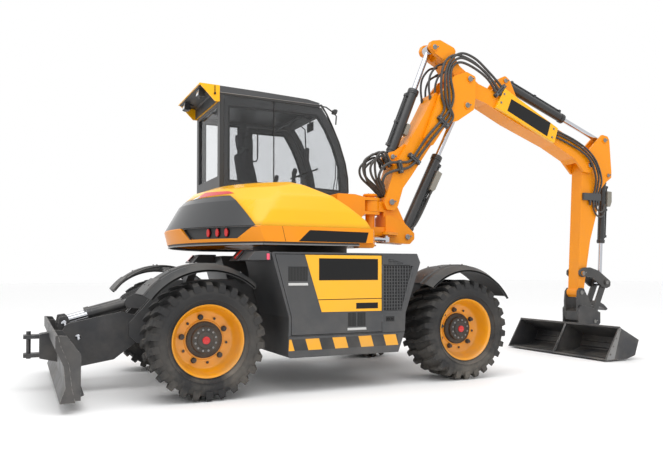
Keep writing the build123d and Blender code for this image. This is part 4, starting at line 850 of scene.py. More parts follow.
def cell_sheet(name, rear, low, high, front_low, front_high, cell, wall):
    """Square cells side by side on the engine wall, as far as a slanted front edge."""
    columns = int((max(front_low, front_high) - rear) / cell) + 1
    rows = int((high - low) / cell)
    form = bmesh.new()
    for row in range(rows):
        z = low + row * cell
        share = (z + cell / 2 - low) / (high - low)
        front = front_low + (front_high - front_low) * share
        for column in range(columns):
            x = rear + column * cell
            if x + cell <= front:
                corners = [(x, wall, z), (x + cell, wall, z), (x + cell, wall, z + cell), (x, wall, z + cell)]
                form.faces.new([form.verts.new(Vector(c) * MM) for c in corners])
    bmesh.ops.remove_doubles(form, verts=form.verts, dist=1e-5)
    return mesh_of(name, form)


# Engine grille: a plain sheet with a field of square holes and a denser one above it
HEAD_SHEETS = [
    framed(359, 414, 1158, 1221), [(359, 1221), (414, 1221), (359, 1237)],
    [(573, 1156), (647, 1156), (573, 1177)],
    [(414, 1158), (573, 1158), (573, 1166), (414, 1166)], [(414, 1212), (449, 1212), (414, 1222)],
    [(556, 722), (579, 722), (703, 1141), (681, 1141)],
]
piece("grille_back", NET, "chassis", [
    (prism, [(359, 719), (578, 719), (704, 1140), (359, 1237)], "Y", -1191, -1186.3),
], replaces=("side_grille",), slot="dark_plastic")
piece("grille_head_sheet", PAINT_GREY, "chassis", [
    *((prism, outline, "Y", -1198.6, -1190) for outline in HEAD_SHEETS),
])
baked("grille_mesh", cell_sheet("grille_cells", 360, 722, 1156, 572, 700, 30.5, -1192), SQUARE_MESH, {
    "Hole Share": 0.76, "Thickness": 0.006, "Material": PAINT_GREY,
}, PAINT_GREY, "chassis")
baked("grille_head_mesh", cell_sheet("head_cells", 416, 1167, 1212, 572, 572, 15, -1193), SQUARE_MESH, {
    "Hole Share": 0.6, "Thickness": 0.005, "Material": PAINT_GREY,
}, PAINT_GREY, "chassis")

# Door latch: a rounded plate round a dark well with two keepers
form = bmesh.new()
latch_rim = [(371, 601), (485, 601), (491, 607), (491, 675), (485, 681), (371, 681), (365, 675), (365, 607)]
prism(form, latch_rim, "Y", -1203, -1199.5)
finish("latch_plate", form, PAINT_GREY, "chassis", 1.5)
plate_on_wall("latch_well", framed(380, 476, 618, 666), 3.6, NET, "chassis", depth=-2.5)
piece("latch_keepers", BLANK_PLATE, "chassis", [
    *((brick, (rear, -1206, 632), (rear + (14 if rear < 430 else 26), -1203, 652))
      for rear in (392, 412, 438)),
], 1.2)

# Warning strips along both sills
plate_on_wall("warning_strip_right", [(-604, 487), (513, 494), (519, 391), (-609, 386)], 1.6, HAZARD,
              "chassis")
plate_on_wall("warning_strip_left", [(-609, 386), (519, 386), (516, 462), (-606, 462)], 1.6, HAZARD,
              "chassis", 1)

# Left housing: treads in the steps, a filler cap, a yellow field and a rail
for step_z in (470, 760):
    bar_row("step_treads_%d" % step_z, (-70, 1140, step_z + 3), (21, 0, 0), 19, (7, 96, 7), STEEL, "chassis")
    piece("step_nosing_%d" % step_z, PALE, "chassis", [
        (brick, (-88, 1187, step_z + 0.5), (328, 1199, step_z + 12)),
    ], 1.5)

piece("filler_cap", PLASTIC, "chassis", [
    (turned, [(-3, 62), (14, 62), (20, 56), (24, 54), (40, 52), (46, 46), (48, 0)], (-420, 1200, 1080),
     (0, 1, 0), 40),
], 1.0)
plate_on_wall("tank_yellow_field", [(-452, 1243), (-120, 1243), (-120, 1180), (-432, 1180)], 2.5, PAINT_FIELD,
              "chassis", 1)
piece("step_rail", PAINT_BLACK, "chassis", [
    (sweep, [(400, 1202, 620), (400, 1240, 640), (400, 1240, 1080), (400, 1202, 1100)], 13),
], smooth=60)

# Lamp boxes over the rear mudguards: side markers, rear lenses in frames, small bolts
for side, name in HANDS:
    form = bmesh.new()
    wing = sorted((side * 955, side * 1196))
    prism(form, [(-985, 1200), (-925, 1268), (-800, 1274), (-772, 1258), (-772, 1194), (-985, 1190)], "Y",
          *wing)
    finish("lamp_box_wing_" + name, form, PAINT_GREY, "chassis", 7)
    # Side markers in the rose reflector material, with a painted glow
    piece("side_marker_" + name, GLOWING_ROSE_LENS, "chassis", [
        (prism, [(-814, 1198), (-790, 1198), (-790, 1250), (-814, 1250)], "Y", side * 1194, side * 1203),
    ], 3)
    piece("rear_lens_" + name, LENS_RED, "chassis", [
        (prism, [(-1010.5, 1204), (-948, 1273), (-962, 1286), (-1024, 1217)], "Y", side * 895, side * 948),
    ], 3, replaces=("chassis_lamps",) if side < 0 else (), slot="lamp_red")
    piece("lens_frame_" + name, PLASTIC, "chassis", [
        *((prism, [(-1010.5, 1204), (-948, 1273), (-960, 1284), (-1022, 1215)], "Y", side * low, side * high)
          for low, high in ((885, 893), (950, 958))),
    ], 1.5)

bolts("lamp_box_bolts", [
    ((x, side * 960.5, z), (0, side, 0)) for side in (-1, 1)
    for x, z in ((-940, 1205), (-800, 1205), (-870, 1262))
], 6, STEEL, "chassis")

# Mudguards: raised rims, flaps at the ends and the bolts that hold them
GUARDS = [
    # name, wheel's X, rear angle, front angle, angles of the flap
    ("rear", -1325, 143.3, 48.2, (127, 143.3)), ("front", 1325, 134.1, 31.2, (31.2, 44)),
]
for name, wheel_x, rear_angle, front_angle, flap in GUARDS:
    for side, hand in HANDS:
        form = bmesh.new()
        inner, outer = (720, 1120) if side > 0 else (-1120, -720)
        arc_band(form, (wheel_x, AXLE_HEIGHT), 649, 664.5, flap[0], flap[1], "Y", inner, outer, 10)
        finish("guard_flap_%s_%s" % (name, hand), form, GUARD_FLAP, "chassis", 1.5)
        form = bmesh.new()
        edge = (1213, 1225) if side > 0 else (-1225, -1213)
        arc_band(form, (wheel_x, AXLE_HEIGHT), 584, 605, front_angle, rear_angle, "Y", edge[0], edge[1], 40)
        finish("guard_rim_%s_%s" % (name, hand), form, PLASTIC, "chassis", 2.5)
    middle_angles = [rear_angle - 9, rear_angle - 27, (rear_angle + front_angle) / 2, front_angle + 12]
    bolts("guard_bolts_" + name, [
        ((wheel_x + 664 * math.cos(math.radians(a)), side * y, AXLE_HEIGHT + 664 * math.sin(math.radians(a))),
         (math.cos(math.radians(a)), 0, math.sin(math.radians(a))))
        for side in (-1, 1) for a in middle_angles for y in (800, 1010)
    ], 9, STEEL, "chassis")

# Axles: bolts round each final drive, a steering ram on each axle and the drive shaft
for name, axle_x in (("front", 1325), ("rear", -1325)):
    way = 1 if axle_x > 0 else -1
    bolts("drive_bolts_" + name, [
        place for side in (-1, 1) for place in ring_of((axle_x, side * 150, AXLE_HEIGHT), (0, side, 0), 168,
                                                       10)
    ], 10, STEEL, "chassis")
    piece("steering_ram_" + name, PAINT_BLACK, "chassis", [
        (turned, [(-300, 34), (-296, 40), (296, 40), (300, 34)], (axle_x - way * 150, 0, AXLE_HEIGHT + 10),
         (0, 1, 0), 24),
        (turned, [(-560, 0), (-560, 17), (560, 17), (560, 0)], (axle_x - way * 150, 0, AXLE_HEIGHT + 10),
         (0, 1, 0), 20),
        (brick, (min(axle_x, axle_x - way * 160), -60, AXLE_HEIGHT - 20),
         (max(axle_x, axle_x - way * 160), 60, AXLE_HEIGHT + 40)),
    ], 1.5)

piece("drive_shaft", CAST, "chassis", [
    (turned, [(-1140, 0), (-1140, 46), (-1110, 46), (-1100, 32), (1100, 32), (1110, 46), (1140, 46),
              (1140, 0)], (0, 0, 505), (1, 0, 0), 24),
    (brick, (-190, -150, 430), (190, 150, 640)),
], 3)


# Upper body: trim that follows the round tail

# Radius about the slew axis, and height
TAIL = [(1408, 1360), (1440, 1492), (1297, 1745), (1165, 1875), (980, 1940)]
RECESS_RADIUS = 1390


def read_line(line, at):
    """The value on a broken line of (place, value) pairs."""
    for (start, low), (end, high) in zip(line, line[1:]):
        if at <= end:
            return low + (high - low) * (at - start) / (end - start)
    return line[-1][1]


def tail_plate(name, lower, upper, proud, depth, material, side=-1, radius=None, bevel=0.0, slot=None):
    """A plate on the tail between two lines of angle from straight back and height."""
    columns, rows = 20, 6
    form = bmesh.new()
    faces = []
    for away in (proud, -depth):
        sheet = []
        for column in range(columns + 1):
            angle = lower[0][0] + (lower[-1][0] - lower[0][0]) * column / columns
            low, high = read_line(lower, angle), read_line(upper, angle)
            turn = math.radians(180 - side * angle)
            line = []
            for row in range(rows + 1):
                z = low + (high - low) * row / rows
                out = (radius or read_line([(z_, r) for r, z_ in TAIL], z)) + away
                line.append(form.verts.new(Vector((out * math.cos(turn), out * math.sin(turn), z)) * MM))
            sheet.append(line)
        faces.append(sheet)
    for sheet in faces:
        for a, b in zip(sheet, sheet[1:]):
            for row in range(rows):
                form.faces.new((a[row], b[row], b[row + 1], a[row + 1]))
    outer, inner = faces
    rim = [[s[0][r] for r in range(rows + 1)] + [s[c][rows] for c in range(1, columns + 1)]
           + [s[columns][r] for r in range(rows - 1, -1, -1)] + [s[c][0] for c in range(columns - 1, 0, -1)]
           for s in (outer, inner)]
    for k in range(len(rim[0])):
        n = (k + 1) % len(rim[0])
        form.faces.new((rim[0][k], rim[0][n], rim[1][n], rim[1][k]))
    return finish(name, form, material, "upper", bevel, 30, slot=slot)


for side, hand in HANDS:
    tail_plate("tail_light_strip_" + hand, [(14.5, 1806), (23, 1812), (37, 1820)], [(14.5, 1842), (16, 1862),
               (33.5, 1848), (37, 1824)], 5, 8, LENS_RED, side, slot="lamp_red")
    tail_plate("tail_light_end_" + hand, [(9.8, 1797), (14.3, 1803)], [(9.8, 1803), (14.3, 1840)], 4, 8,
               LENS_CLEAR,
               side, slot="lamp_clear")
    # A dark grey strip along the panel's fold: painted shade in the crease
    tail_plate("panel_fold_" + hand, [(17, 1489), (52, 1489)], [(17, 1494), (52, 1494)], 1.2, 4, PAINT_GREY,
               side)
    tail_plate("lamp_recess_back_" + hand, [(15.8, 1494), (21, 1392), (44.8, 1392), (53.2, 1494)],
               [(15.8, 1499), (53.2, 1499)], 4, 3, PLASTIC, side, RECESS_RADIUS)
    tail_plate("lamp_recess_sill_" + hand, [(20.8, 1389.5), (45, 1389.5)], [(20.8, 1393), (45, 1393)], 22, 3,
               PLASTIC,
               side, RECESS_RADIUS)
    for end, line in (("inner", [(15.2, 1497), (20.6, 1390)]), ("outer", [(45.2, 1390), (54.0, 1497)])):
        tail_plate("lamp_recess_%s_wall_%s" % (end, hand), line, [(angle, z + 9) for angle, z in line], 26, 3,
                   PLASTIC,
                   side, RECESS_RADIUS)
    form = bmesh.new()
    for angle in (30.8, 35.2, 39.3):
        turn = math.radians(180 - side * angle)
        line, flat = Vector((math.cos(turn), math.sin(turn), 0)), Vector((-math.sin(turn), math.cos(turn), 0))
        rings = []
        for out, share in ((1388, 1.5), (1402, 1.5), (1406, 1.42), (1406, 1.12), (1398, 1.08), (1388, 1.08)):
            rings.append([form.verts.new((line * out + flat * 17 * share * math.cos(t) +
                                          Vector((0, 0, 1445 + 34 * share ** 0.6 * math.sin(t)))) * MM)
                          for t in (2 * math.pi * k / 32 for k in range(32))])
        for a, b in zip(rings, rings[1:] + rings[:1]):
            for k in range(32):
                n = (k + 1) % 32
                form.faces.new((a[k], a[n], b[n], b[k]))
    finish("lamp_bezels_" + hand, form, BLANK_PLATE, "upper", smooth=40)

# Skirt under the band, round the tail and both sides: a dark strip of painted shadow above a bright steel lip
# standing in for the lit lower half; belly plate
for name, low, high, out, material in (
    ("band_skirt", 1342, 1361, 0, PLASTIC), ("band_skirt_lip", 1331, 1343, 4, STEEL),
):
    piece(name, material, "upper", [
        (arc_band, (0, 0), 1386, 1398 + out, 126, 234, "Z", low, high, 48),
        (brick, (-822, -1136 - out, low), (134, -1126, high)),
        (brick, (-822, 1126, low), (600, 1136 + out, high)),
    ], 1.5)

# Belly plate: the deck's gold paint darkened and made matte, as painted shade
piece("belly_plate", SHADED_BELLY, "upper", [
    (arc_band, (0, 0), 820, 1384, 126, 234, "Z", 1356.5, 1359.6, 48),
    (brick, (-822, -1126, 1356.5), (134, -830, 1359.6)),
])
piece("deck_foot", PAINT_GOLD, "upper", [
    (prism, [(134, 1361), (316, 1361), (316, 1330), (300, 1319), (150, 1319), (134, 1336)], "Y", -1100,
     -1000),
], 3, slot="gold_paint")

# The blank dark plate on the band's right side and the band's joint line
piece("band_blank_plate", BLANK_PLATE, "upper", [
    (prism, [(-492, 1366), (-382, 1470), (225, 1463), (197, 1363)], "Y", -1152, -1149),
], 0.8)
piece("band_joint_line", BLANK_PLATE, "upper", [
    *((prism, [(-652, 1497), (-648, 1497), (-616, 1361), (-620, 1361)], "Y", wall, wall + 1.2)
      for wall in (-1150.6, 1149.4)),
])

# Swing gear: pin heads and keeper bolts
piece("swing_pin_head", PAINT_GOLD, "upper", [
    (turned, [(-4, 0), (-4, 78), (4, 82), (16, 82), (22, 74), (22, 40), (26, 34), (26, 0)], (870, 0, 1960),
     (0, 0, 1), 36),
    (turned, [(-4, 0), (-4, 70), (8, 70), (12, 60), (12, 0)], (870, 0, 1388), (0, 0, 1), 32),
], 1.5)
bolts("swing_pin_bolts", ring_of((870, 0, 1978), (0, 0, 1), 60, 6), 9, STEEL, "upper")


# Cab

RIGHT_WINDOW = [(-760, 2060), (600, 2010), (580, 2300), (500, 2535), (400, 2735), (290, 2890), (-760, 2890)]
DOOR_WINDOW = [(-180, 1700), (550, 1700), (560, 1990), (550, 2160), (520, 2310), (445, 2520), (370, 2680),
               (275, 2830),
               (-180, 2830)]


def drawn_in(outline, distance):
    """The outline moved inwards; it runs counter-clockwise in X and Z."""
    corners = []
    for k, here in enumerate(outline):
        before, after = outline[k - 1], outline[(k + 1) % len(outline)]
        ways = []
        for a, b in ((before, here), (here, after)):
            way = Vector((b[0] - a[0], b[1] - a[1])).normalized()
            ways.append(Vector((-way.y, way.x)))
        out = (ways[0] + ways[1]).normalized()
        out *= distance / max(out.dot(ways[0]), 0.35)
        corners.append((here[0] + out.x, here[1] + out.y))
    return corners


def frame_ring(form, outline, width, low, high):
    """A flat frame along the inside of an outline, between two places in Y."""
    inner = drawn_in(outline, width)
    rows = [[form.verts.new(place_on("Y", u, v, y)) for u, v in line]
            for line, y in ((outline, low), (inner, low), (inner, high), (outline, high))]
    for a, b in zip(rows, rows[1:] + rows[:1]):
        for k in range(len(outline)):
            n = (k + 1) % len(outline)
            form.faces.new((a[k], a[n], b[n], b[k]))


piece("right_window_seal", SEAL, "upper", [
    (frame_ring, RIGHT_WINDOW, 26, 206, 219.4),
    (brick, (-243, 190, 1997), (-229, 195.8, 2975)),
], 2)
piece("outer_side_glass", GLASS_SIDE, "upper", [
    (prism, [(-803, 1993), (664, 1993), (656, 2180), (626, 2345), (549, 2575), (467, 2748), (382, 2890),
             (316, 2960), (-803, 2989)], "Y", 195.6, 199.6),
], slot="glass")
piece("door_window_seal", SEAL, "cab_door", [(frame_ring, DOOR_WINDOW, 22, 1171, 1186)], 2)
piece("rear_side_seal", SEAL, "upper", [
    (frame_ring, [(-760, 2060), (-330, 2060), (-330, 2890), (-760, 2890)], 22, 1171, 1184),
], 2)

# Pillar strips, roof gutter with its bright line, and lines of the cab's lower frame
form = bmesh.new()
for wall in (190, 1190):
    brick(form, (-842, wall, 1990), (-806, wall + 10, 2990))
    prism(form, [(-850, 2992), (318, 2966), (330, 2990), (300, 3004), (-850, 3012)], "Y", wall, wall + 10)
finish("pillar_strips", form, PLASTIC, "upper", 3)
piece("roof_bright_line", STEEL, "upper", [
    *((sweep, [(-846, wall, 3010), (-300, wall, 3005), (296, wall, 2999)], 3.2, 8)
      for wall in (188.6, 1201.4)),
], smooth=60)
FRONT_POST = [(300, 3004), (336, 2990), (404, 2905), (470, 2800), (560, 2590), (640, 2360), (676, 2170),
              (684, 2010),
              (694, 2010), (688, 2180), (656, 2352), (576, 2590), (492, 2766), (420, 2905), (350, 3008)]
for hand, low in (("right", 190), ("left", 1184)):
    piece("front_post_strip_" + hand, PLASTIC, "upper", [(prism, FRONT_POST, "Y", low, low + 16)], 3)

# Canopy: a dark sheet of painted shade under it, latch straps, lenses of the two work lamps with their
# brackets
piece("canopy_lining", PLASTIC, "upper", [
    (prism, [(-1066, 3067.5), (-884, 3049.5), (-868, 3036), (-868, 2924), (-875, 2924), (-875, 3030),
             (-889, 3043), (-1066, 3061)], "Y", 212, 1178),
], 1)
form = bmesh.new()
for wall in (190, 1196):
    brick(form, (-908, wall, 2992), (-899, wall + 5, 3078))
    turned(form, [(-3.5, 0), (-3.5, 12), (6, 12), (8, 9), (8, 0)],
           (-904, wall + (-1 if wall < 600 else 6), 2992),
           (0, -1 if wall < 600 else 1, 0), 20)
finish("canopy_latches", form, BLANK_PLATE, "upper", 1)
form = bmesh.new()
frames = bmesh.new()
for lamp_y in (365, 1025):
    prism(form, [(-1055, 2994), (-1047, 3056), (-1041, 3058), (-1050, 2992)], "Y", lamp_y - 47, lamp_y + 47)
    for low in (lamp_y - 56, lamp_y + 47):
        prism(frames, [(-1053, 2986), (-1043, 3064), (-1030, 3063), (-1034, 2978)], "Y", low, low + 9)
    brick(frames, (-985, lamp_y - 20, 3040), (-940, lamp_y + 20, 3052))
finish("work_lamp_lenses", form, LENS_CLEAR, "upper", 2, slot="lamp_clear")
finish("work_lamp_frames", frames, PLASTIC, "upper", 2)

# Front corner: lamp on a bracket, wiper on the windscreen, mirror on the left
piece("front_brackets", PAINT_BLACK, "upper", [
    (sweep, [(352, 235, 3000), (420, 228, 2992), (476, 224, 2958), (520, 224, 2932), (548, 224, 2900),
             (540, 224, 2800)], 8),
    (sweep, [(350, 1150, 3000), (470, 1165, 2985), (560, 1180, 2930), (575, 1190, 2700)], 9),
], smooth=60)
piece("front_lamp_and_mirror", PLASTIC, "upper", [
    (prism, [(500, 2925), (542, 2920), (556, 2960), (540, 2975), (505, 2972)], "Y", 196, 262),
    (prism, [(556, 2420), (604, 2424), (610, 2690), (560, 2694)], "Y", 1150, 1196),
], 6)
piece("wiper", BLANK_PLATE, "upper", [
    (sweep, [(690, 640, 2012), (697, 560, 2230), (664, 480, 2400)], 6, 8),
    (sweep, [(700, 560, 1990), (701, 520, 2180), (690, 480, 2260), (668, 440, 2390), (628, 400, 2520)], 5, 8),
], smooth=60)

# Inside: rails on the pillar and the door, blind, screens and the levers' grips
piece("pillar_rail", PAINT_BLACK, "upper", [
    (sweep, [(-262, 1141, 2761), (-222, 1118, 2760), (-190, 1112, 2742), (-182, 1110, 2700),
             (-182, 1110, 2350), (-196, 1114, 2322), (-262, 1141, 2318)], 10),
], smooth=60)
piece("door_rail", PAINT_BLACK, "cab_door", [
    (sweep, [(-205, 1152, 2858), (-150, 1118, 2864), (-116, 1112, 2848), (-111, 1110, 2800),
             (-111, 1110, 2500), (-124, 1114, 2462), (-205, 1152, 2457)], 10),
], smooth=60)
piece("blind_and_screens", BLANK_PLATE, "upper", [
    (prism, [(62, 2826), (96, 2872), (150, 2906), (210, 2918), (272, 2900), (318, 2872), (318, 2858),
             (262, 2884), (206, 2900), (156, 2890), (108, 2858), (78, 2820)], "Y", 420, 980),
    (brick, (352, 480, 2768), (372, 640, 2872)),
    (brick, (352, 550, 2860), (366, 570, 2925)),
    (brick, (470, 1020, 2215), (500, 1130, 2345)),
], 4)
for side, name in HANDS:
    piece("lever_grip_" + name, PLASTIC, "upper", [
        (turned, [(0, 0), (0, 34), (8, 36), (40, 26), (60, 20), (90, 18), (128, 21), (160, 27), (184, 25),
                  (196, 14), (198, 0)], (80, 700 + side * 300, 2092), (0.12, 0, 1), 24),
    ], smooth=50)


# Seat: three pads, blown up as cloth under pressure, then drawn in along their seams

SEAT_VOXEL = 0.006         # metres
SEAT_FRAMES = 20
SEAT_PRESSURE = 4
SEAM_DEPTH, SEAM_WIDTH = 0.007, 0.008      # metres
SEAM_SHARE = 0.31          # of the pad's width, from its middle
SEAT_PADS = [
    # name, side outline in X and Z, low Y, high Y, most a point may move
    ("seat_cushion", [(-368, 1896), (98, 1896), (112, 1930), (104, 1996), (40, 2004), (-300, 1982),
                      (-374, 1960)],
     503, 897, 0.026),
    ("seat_back", [(-372, 1996), (-296, 1990), (-340, 2180), (-418, 2480), (-450, 2498), (-478, 2480),
                   (-428, 2180)],
     503, 897, 0.026),
    ("head_rest", [(-446, 2516), (-472, 2516), (-492, 2696), (-450, 2700)], 585, 815, 0.022),
]


def blown_up(name, mesh, reach):
    """The mesh after some frames of cloth under pressure, no point further away than the reach."""
    holder = shown(name + "_form", mesh)
    remesh = holder.modifiers.new("even_faces", "REMESH")
    remesh.mode = "VOXEL"
    remesh.voxel_size = SEAT_VOXEL
    bpy.context.view_layer.update()
    even = bpy.data.meshes.new_from_object(holder.evaluated_get(bpy.context.evaluated_depsgraph_get()))
    holder.modifiers.remove(remesh)
    holder.data = even
    cloth = holder.modifiers.new("stuffing", "CLOTH")
    cloth.settings.use_pressure = True
    cloth.settings.uniform_pressure_force = SEAT_PRESSURE
    cloth.settings.effector_weights.gravity = 0
    cloth.settings.quality = 4
    for number in range(1, SEAT_FRAMES + 1):
        scene.frame_set(number)
    solved = holder.evaluated_get(bpy.context.evaluated_depsgraph_get()).to_mesh()
    moved = []
    for start, end in zip(even.vertices, solved.vertices):
        step = end.co - start.co
        if step.length > reach:
            step *= reach / step.length
        moved.append(start.co + step)
    holder.evaluated_get(bpy.context.evaluated_depsgraph_get()).to_mesh_clear()
    holder.modifiers.remove(cloth)
    scene.frame_set(1)
    for vertex, place in zip(even.vertices, moved):
        vertex.co = place
    bpy.data.objects.remove(holder)
    return even


for pad_name, outline, low, high, reach in SEAT_PADS:
    form = bmesh.new()
    prism(form, outline, "Y", low, high)
    bmesh.ops.recalc_face_normals(form, faces=form.faces)
    mesh = blown_up(pad_name, mesh_of(pad_name + "_block", form), reach)
    middle, channel = (low + high) / 2 * MM, (high - low) * SEAM_SHARE * MM
    for vertex in mesh.vertices:
        away = abs(abs(vertex.co.y - middle) - channel)
        vertex.co = vertex.co - vertex.normal * (SEAM_DEPTH * math.exp(-(away / SEAM_WIDTH) ** 2))
    pad = adopt(pad_name, mesh, CLOTH, "upper", smooth=60,
                replaces=("seat",) if pad_name == "seat_cushion" else ())
    soft = pad.modifiers.new("soft", "SUBSURF")
    soft.levels = soft.render_levels = 1

piece("seat_frame", PAINT_BLACK, "upper", [
    *((sweep, [(-452, 700 + side * 60, 2440), (-462, 700 + side * 60, 2560)], 7, 8) for side in (-1, 1)),
    (brick, (-330, 560, 1850), (60, 840, 1893)),
], 3)


# Arm: pins, pipes, hoses, clamps and cylinder fittings

PINS = [
    # name, X, Z, outer face, radius, body
    ("boom_foot", 1078, 1889, 142, 34, "boom"), ("boom_cylinder_foot", 1292, 1494, 135, 32, "kingpost"),
    ("boom_head", 2149, 3429, 197, 34, "boom"), ("boom_cylinder_eye", 2108, 3103, 195, 32, "boom"),
    ("adjust_foot", 1120, 2420, 94, 28, "boom"), ("adjust_eye", 1676, 3766, 138, 30, "intermediate_boom"),
    ("dipper_pivot", 4175, 2530, 140, 32, "intermediate_boom"),
    ("dipper_cylinder_foot", 2780, 3512, 90, 28, "intermediate_boom"),
    ("dipper_cylinder_eye", 4500, 2900, 96, 28, "dipper"),
    ("bucket_cylinder_foot", 4560, 2418, 96, 24, "dipper"),
    ("lever_pivot", 4050, 1070, 130, 26, "dipper"), ("lever_eye", 4480, 945, 132, 24, "tipping_lever"),
    ("hitch_pivot", 4022, 813, 122, 28, "bucket"), ("link_foot", 4236, 424, 146.3, 24, "bucket"),
]
for name, x, z, face, radius, body in PINS:
    form = bmesh.new()
    for side in (-1, 1):
        turned(form, [(-2, 0), (-2, radius), (7, radius), (10, radius - 4), (10, radius * 0.4),
                      (7, radius * 0.34),
                      (7, 0)], (x, side * face, z), (0, side, 0), 32)
        turned(form, [(-2, 0), (-2, 9), (6, 9), (7, 7), (7, 0)], (x + radius + 16, side * face, z + 10),
               (0, side, 0), 12)
    finish("pin_heads_" + name, form, STEEL, body, smooth=40)


def smooth_line(points, per_run=7):
    """A smooth curve through chosen points."""
    path = [Vector(p) for p in points]
    ends = [path[0] * 2 - path[1]] + path + [path[-1] * 2 - path[-2]]
    line = []
    for a, b, c, d in zip(ends, ends[1:], ends[2:], ends[3:]):
        for k in range(per_run):
            t = k / per_run
            line.append(0.5 * ((2 * b) + (c - a) * t + (2 * a - 5 * b + 4 * c - d) * t * t
                               + (3 * b - a - 3 * c + d) * t ** 3))
    return line + [path[-1]]


def hose(name, runs, radius, material, body, towards=None):
    """Clamped hoses or pipes; a set that crosses a joint rides on no body."""
    form = bmesh.new()
    for points in runs:
        line = smooth_line(points)
        sweep(form, line, radius, 12)
        for tip, near in ((line[0], line[1]), (line[-1], line[-2])):
            turned(form, [(-4, 0), (-4, radius + 4), (34, radius + 4), (40, radius + 1), (40, 0)], tip,
                   near - tip, 12)
    made = finish(name, form, material, None if towards else body, smooth=60)
    if towards:
        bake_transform(made)
    return made


# Boom side: two hoses along it, and four that pass the head to the intermediate boom
hose("boom_side_hoses", [
    [(1030, -62, 1972), (975, -100, 2060), (915, -128, 2170), (960, -148, 2278), (1050, -156, 2335),
     (1190, -156, 2352), (1300, -156, 2368), (1372, -158, 2440), (1440, -172, 2540), (1534, -204, 2680),
     (1724, -206, 2880)],
    [(1040, -40, 1972), (1000, -90, 2050), (965, -128, 2120), (1000, -150, 2200), (1110, -156, 2250),
     (1280, -156, 2292), (1385, -158, 2370), (1462, -172, 2480), (1590, -206, 2650), (1760, -206, 2836)],
], 16, HOSE, "boom", "kingpost")
hose("head_hoses", [
    [(1724, -206, 2880), (1812, -208, 2985), (1872, -210, 3090), (1890, -208, 3210), (1862, -196, 3400),
     (1902, -180, 3548), (2033, -166, 3622), (2232, -160, 3582), (2436, -154, 3480), (2570, -148, 3340)],
    [(1760, -206, 2836), (1846, -210, 2960), (1800, -214, 3060), (1772, -212, 3210), (1784, -200, 3440),
     (1879, -184, 3630), (2047, -168, 3734), (2247, -160, 3700), (2430, -152, 3590), (2627, -148, 3440),
     (2730, -148, 3340)],
    [(1700, -206, 2910), (1760, -210, 3030), (1722, -208, 3180), (1726, -202, 3420), (1796, -190, 3600),
     (1960, -172, 3700), (2189, -162, 3668), (2391, -154, 3560), (2560, -148, 3430), (2660, -148, 3300)],
    [(1796, -206, 2800), (1880, -212, 2930), (1838, -214, 3050), (1828, -212, 3200), (1822, -198, 3420),
     (1890, -182, 3588), (2040, -168, 3676), (2240, -160, 3638), (2434, -154, 3536), (2600, -148, 3380)],
], 15, HOSE, "boom", "intermediate_boom")


def clamp(name, x, z, way, across, low, high, body, material=STEEL):
    """A clamp block across a set of hoses, square to their run."""
    along = Vector((math.cos(math.radians(way)), math.sin(math.radians(way))))
    side = Vector((-along.y, along.x))
    form = bmesh.new()
    for start, end in ((-24, -3), (3, 24)):
        outline = [Vector((x, z)) + along * a + side * s for a, s in
                   ((start, -across), (end, -across), (end, across), (start, across))]
        prism(form, [tuple(p) for p in outline], "Y", low, high)
    finish(name, form, material, body, 4)
    bolts(name + "_bolts", [((x + side.x * s, low, z + side.y * s), (0, -1, 0))
                            for s in (-across * 0.7, across * 0.7)],
          9, STEEL, body)


clamp("boom_clamp_upper", 1744, 2862, 49, 92, -228, -184, "boom", PAINT_GREY)
clamp("boom_clamp_lower", 1372, 2404, 55, 88, -180, -129, "boom", PAINT_GREY)
clamp("boom_clamp_third", 1180, 2300, 12, 76, -178, -129, "boom", PAINT_GREY)
clamp("intermediate_clamp", 2640, 3352, -45, 110, -168, -127, "intermediate_boom", PAINT_GREY)

# Hoses inside the head, the loops over the boom's foot, and those to the dipper
hose("horn_hoses", [
    [(1640, y, 3150), (1622, y, 3300), (1645, y, 3440), (1740, y, 3560), (1850, y, 3600)] for y in (-88, 88)
] + [[(1700, y, 3180), (1704, y, 3320), (1760, y, 3440), (1880, y, 3520)] for y in (-104, 104)],
     13, HOSE, "boom", "intermediate_boom")
hose("foot_loops", [
    [(1080, y, 2330 + lift), (1010, y - 6, 2440 + lift), (930, y - 10, 2430 + lift),
     (872 - bulge, y - 8, 2330 + lift),
     (880 - bulge, y - 4, 2190), (940, y * 0.8, 2070), (1035, y * 0.6, 1970)]
    for y, lift, bulge in ((-112, 10, 0), (-88, -30, 40), (-20, 24, 90), (20, -46, 60), (88, 20, 20),
                           (112, -20, 70))
], 14, HOSE, "boom", "kingpost")
hose("dipper_hoses", [
    [(3540, -146, 2905), (3700, -146, 2866), (3867, -148, 2812), (4020, -160, 2735), (4150, -166, 2640),
     (4250, -166, 2530), (4318, -152, 2380), (4330, -124, 2250), (4310, -112, 2130)],
    [(3540, -146, 2860), (3700, -146, 2812), (3850, -148, 2760), (4000, -160, 2695), (4124, -166, 2610),
     (4210, -166, 2490), (4268, -150, 2350), (4280, -124, 2230), (4262, -112, 2130)],
    [(3560, -146, 2940), (3760, -146, 2884), (3930, -150, 2822), (4090, -162, 2735), (4226, -166, 2620),
     (4310, -164, 2490), (4372, -150, 2340), (4376, -122, 2220), (4352, -110, 2130)],
], 13, HOSE, "intermediate_boom", "dipper")

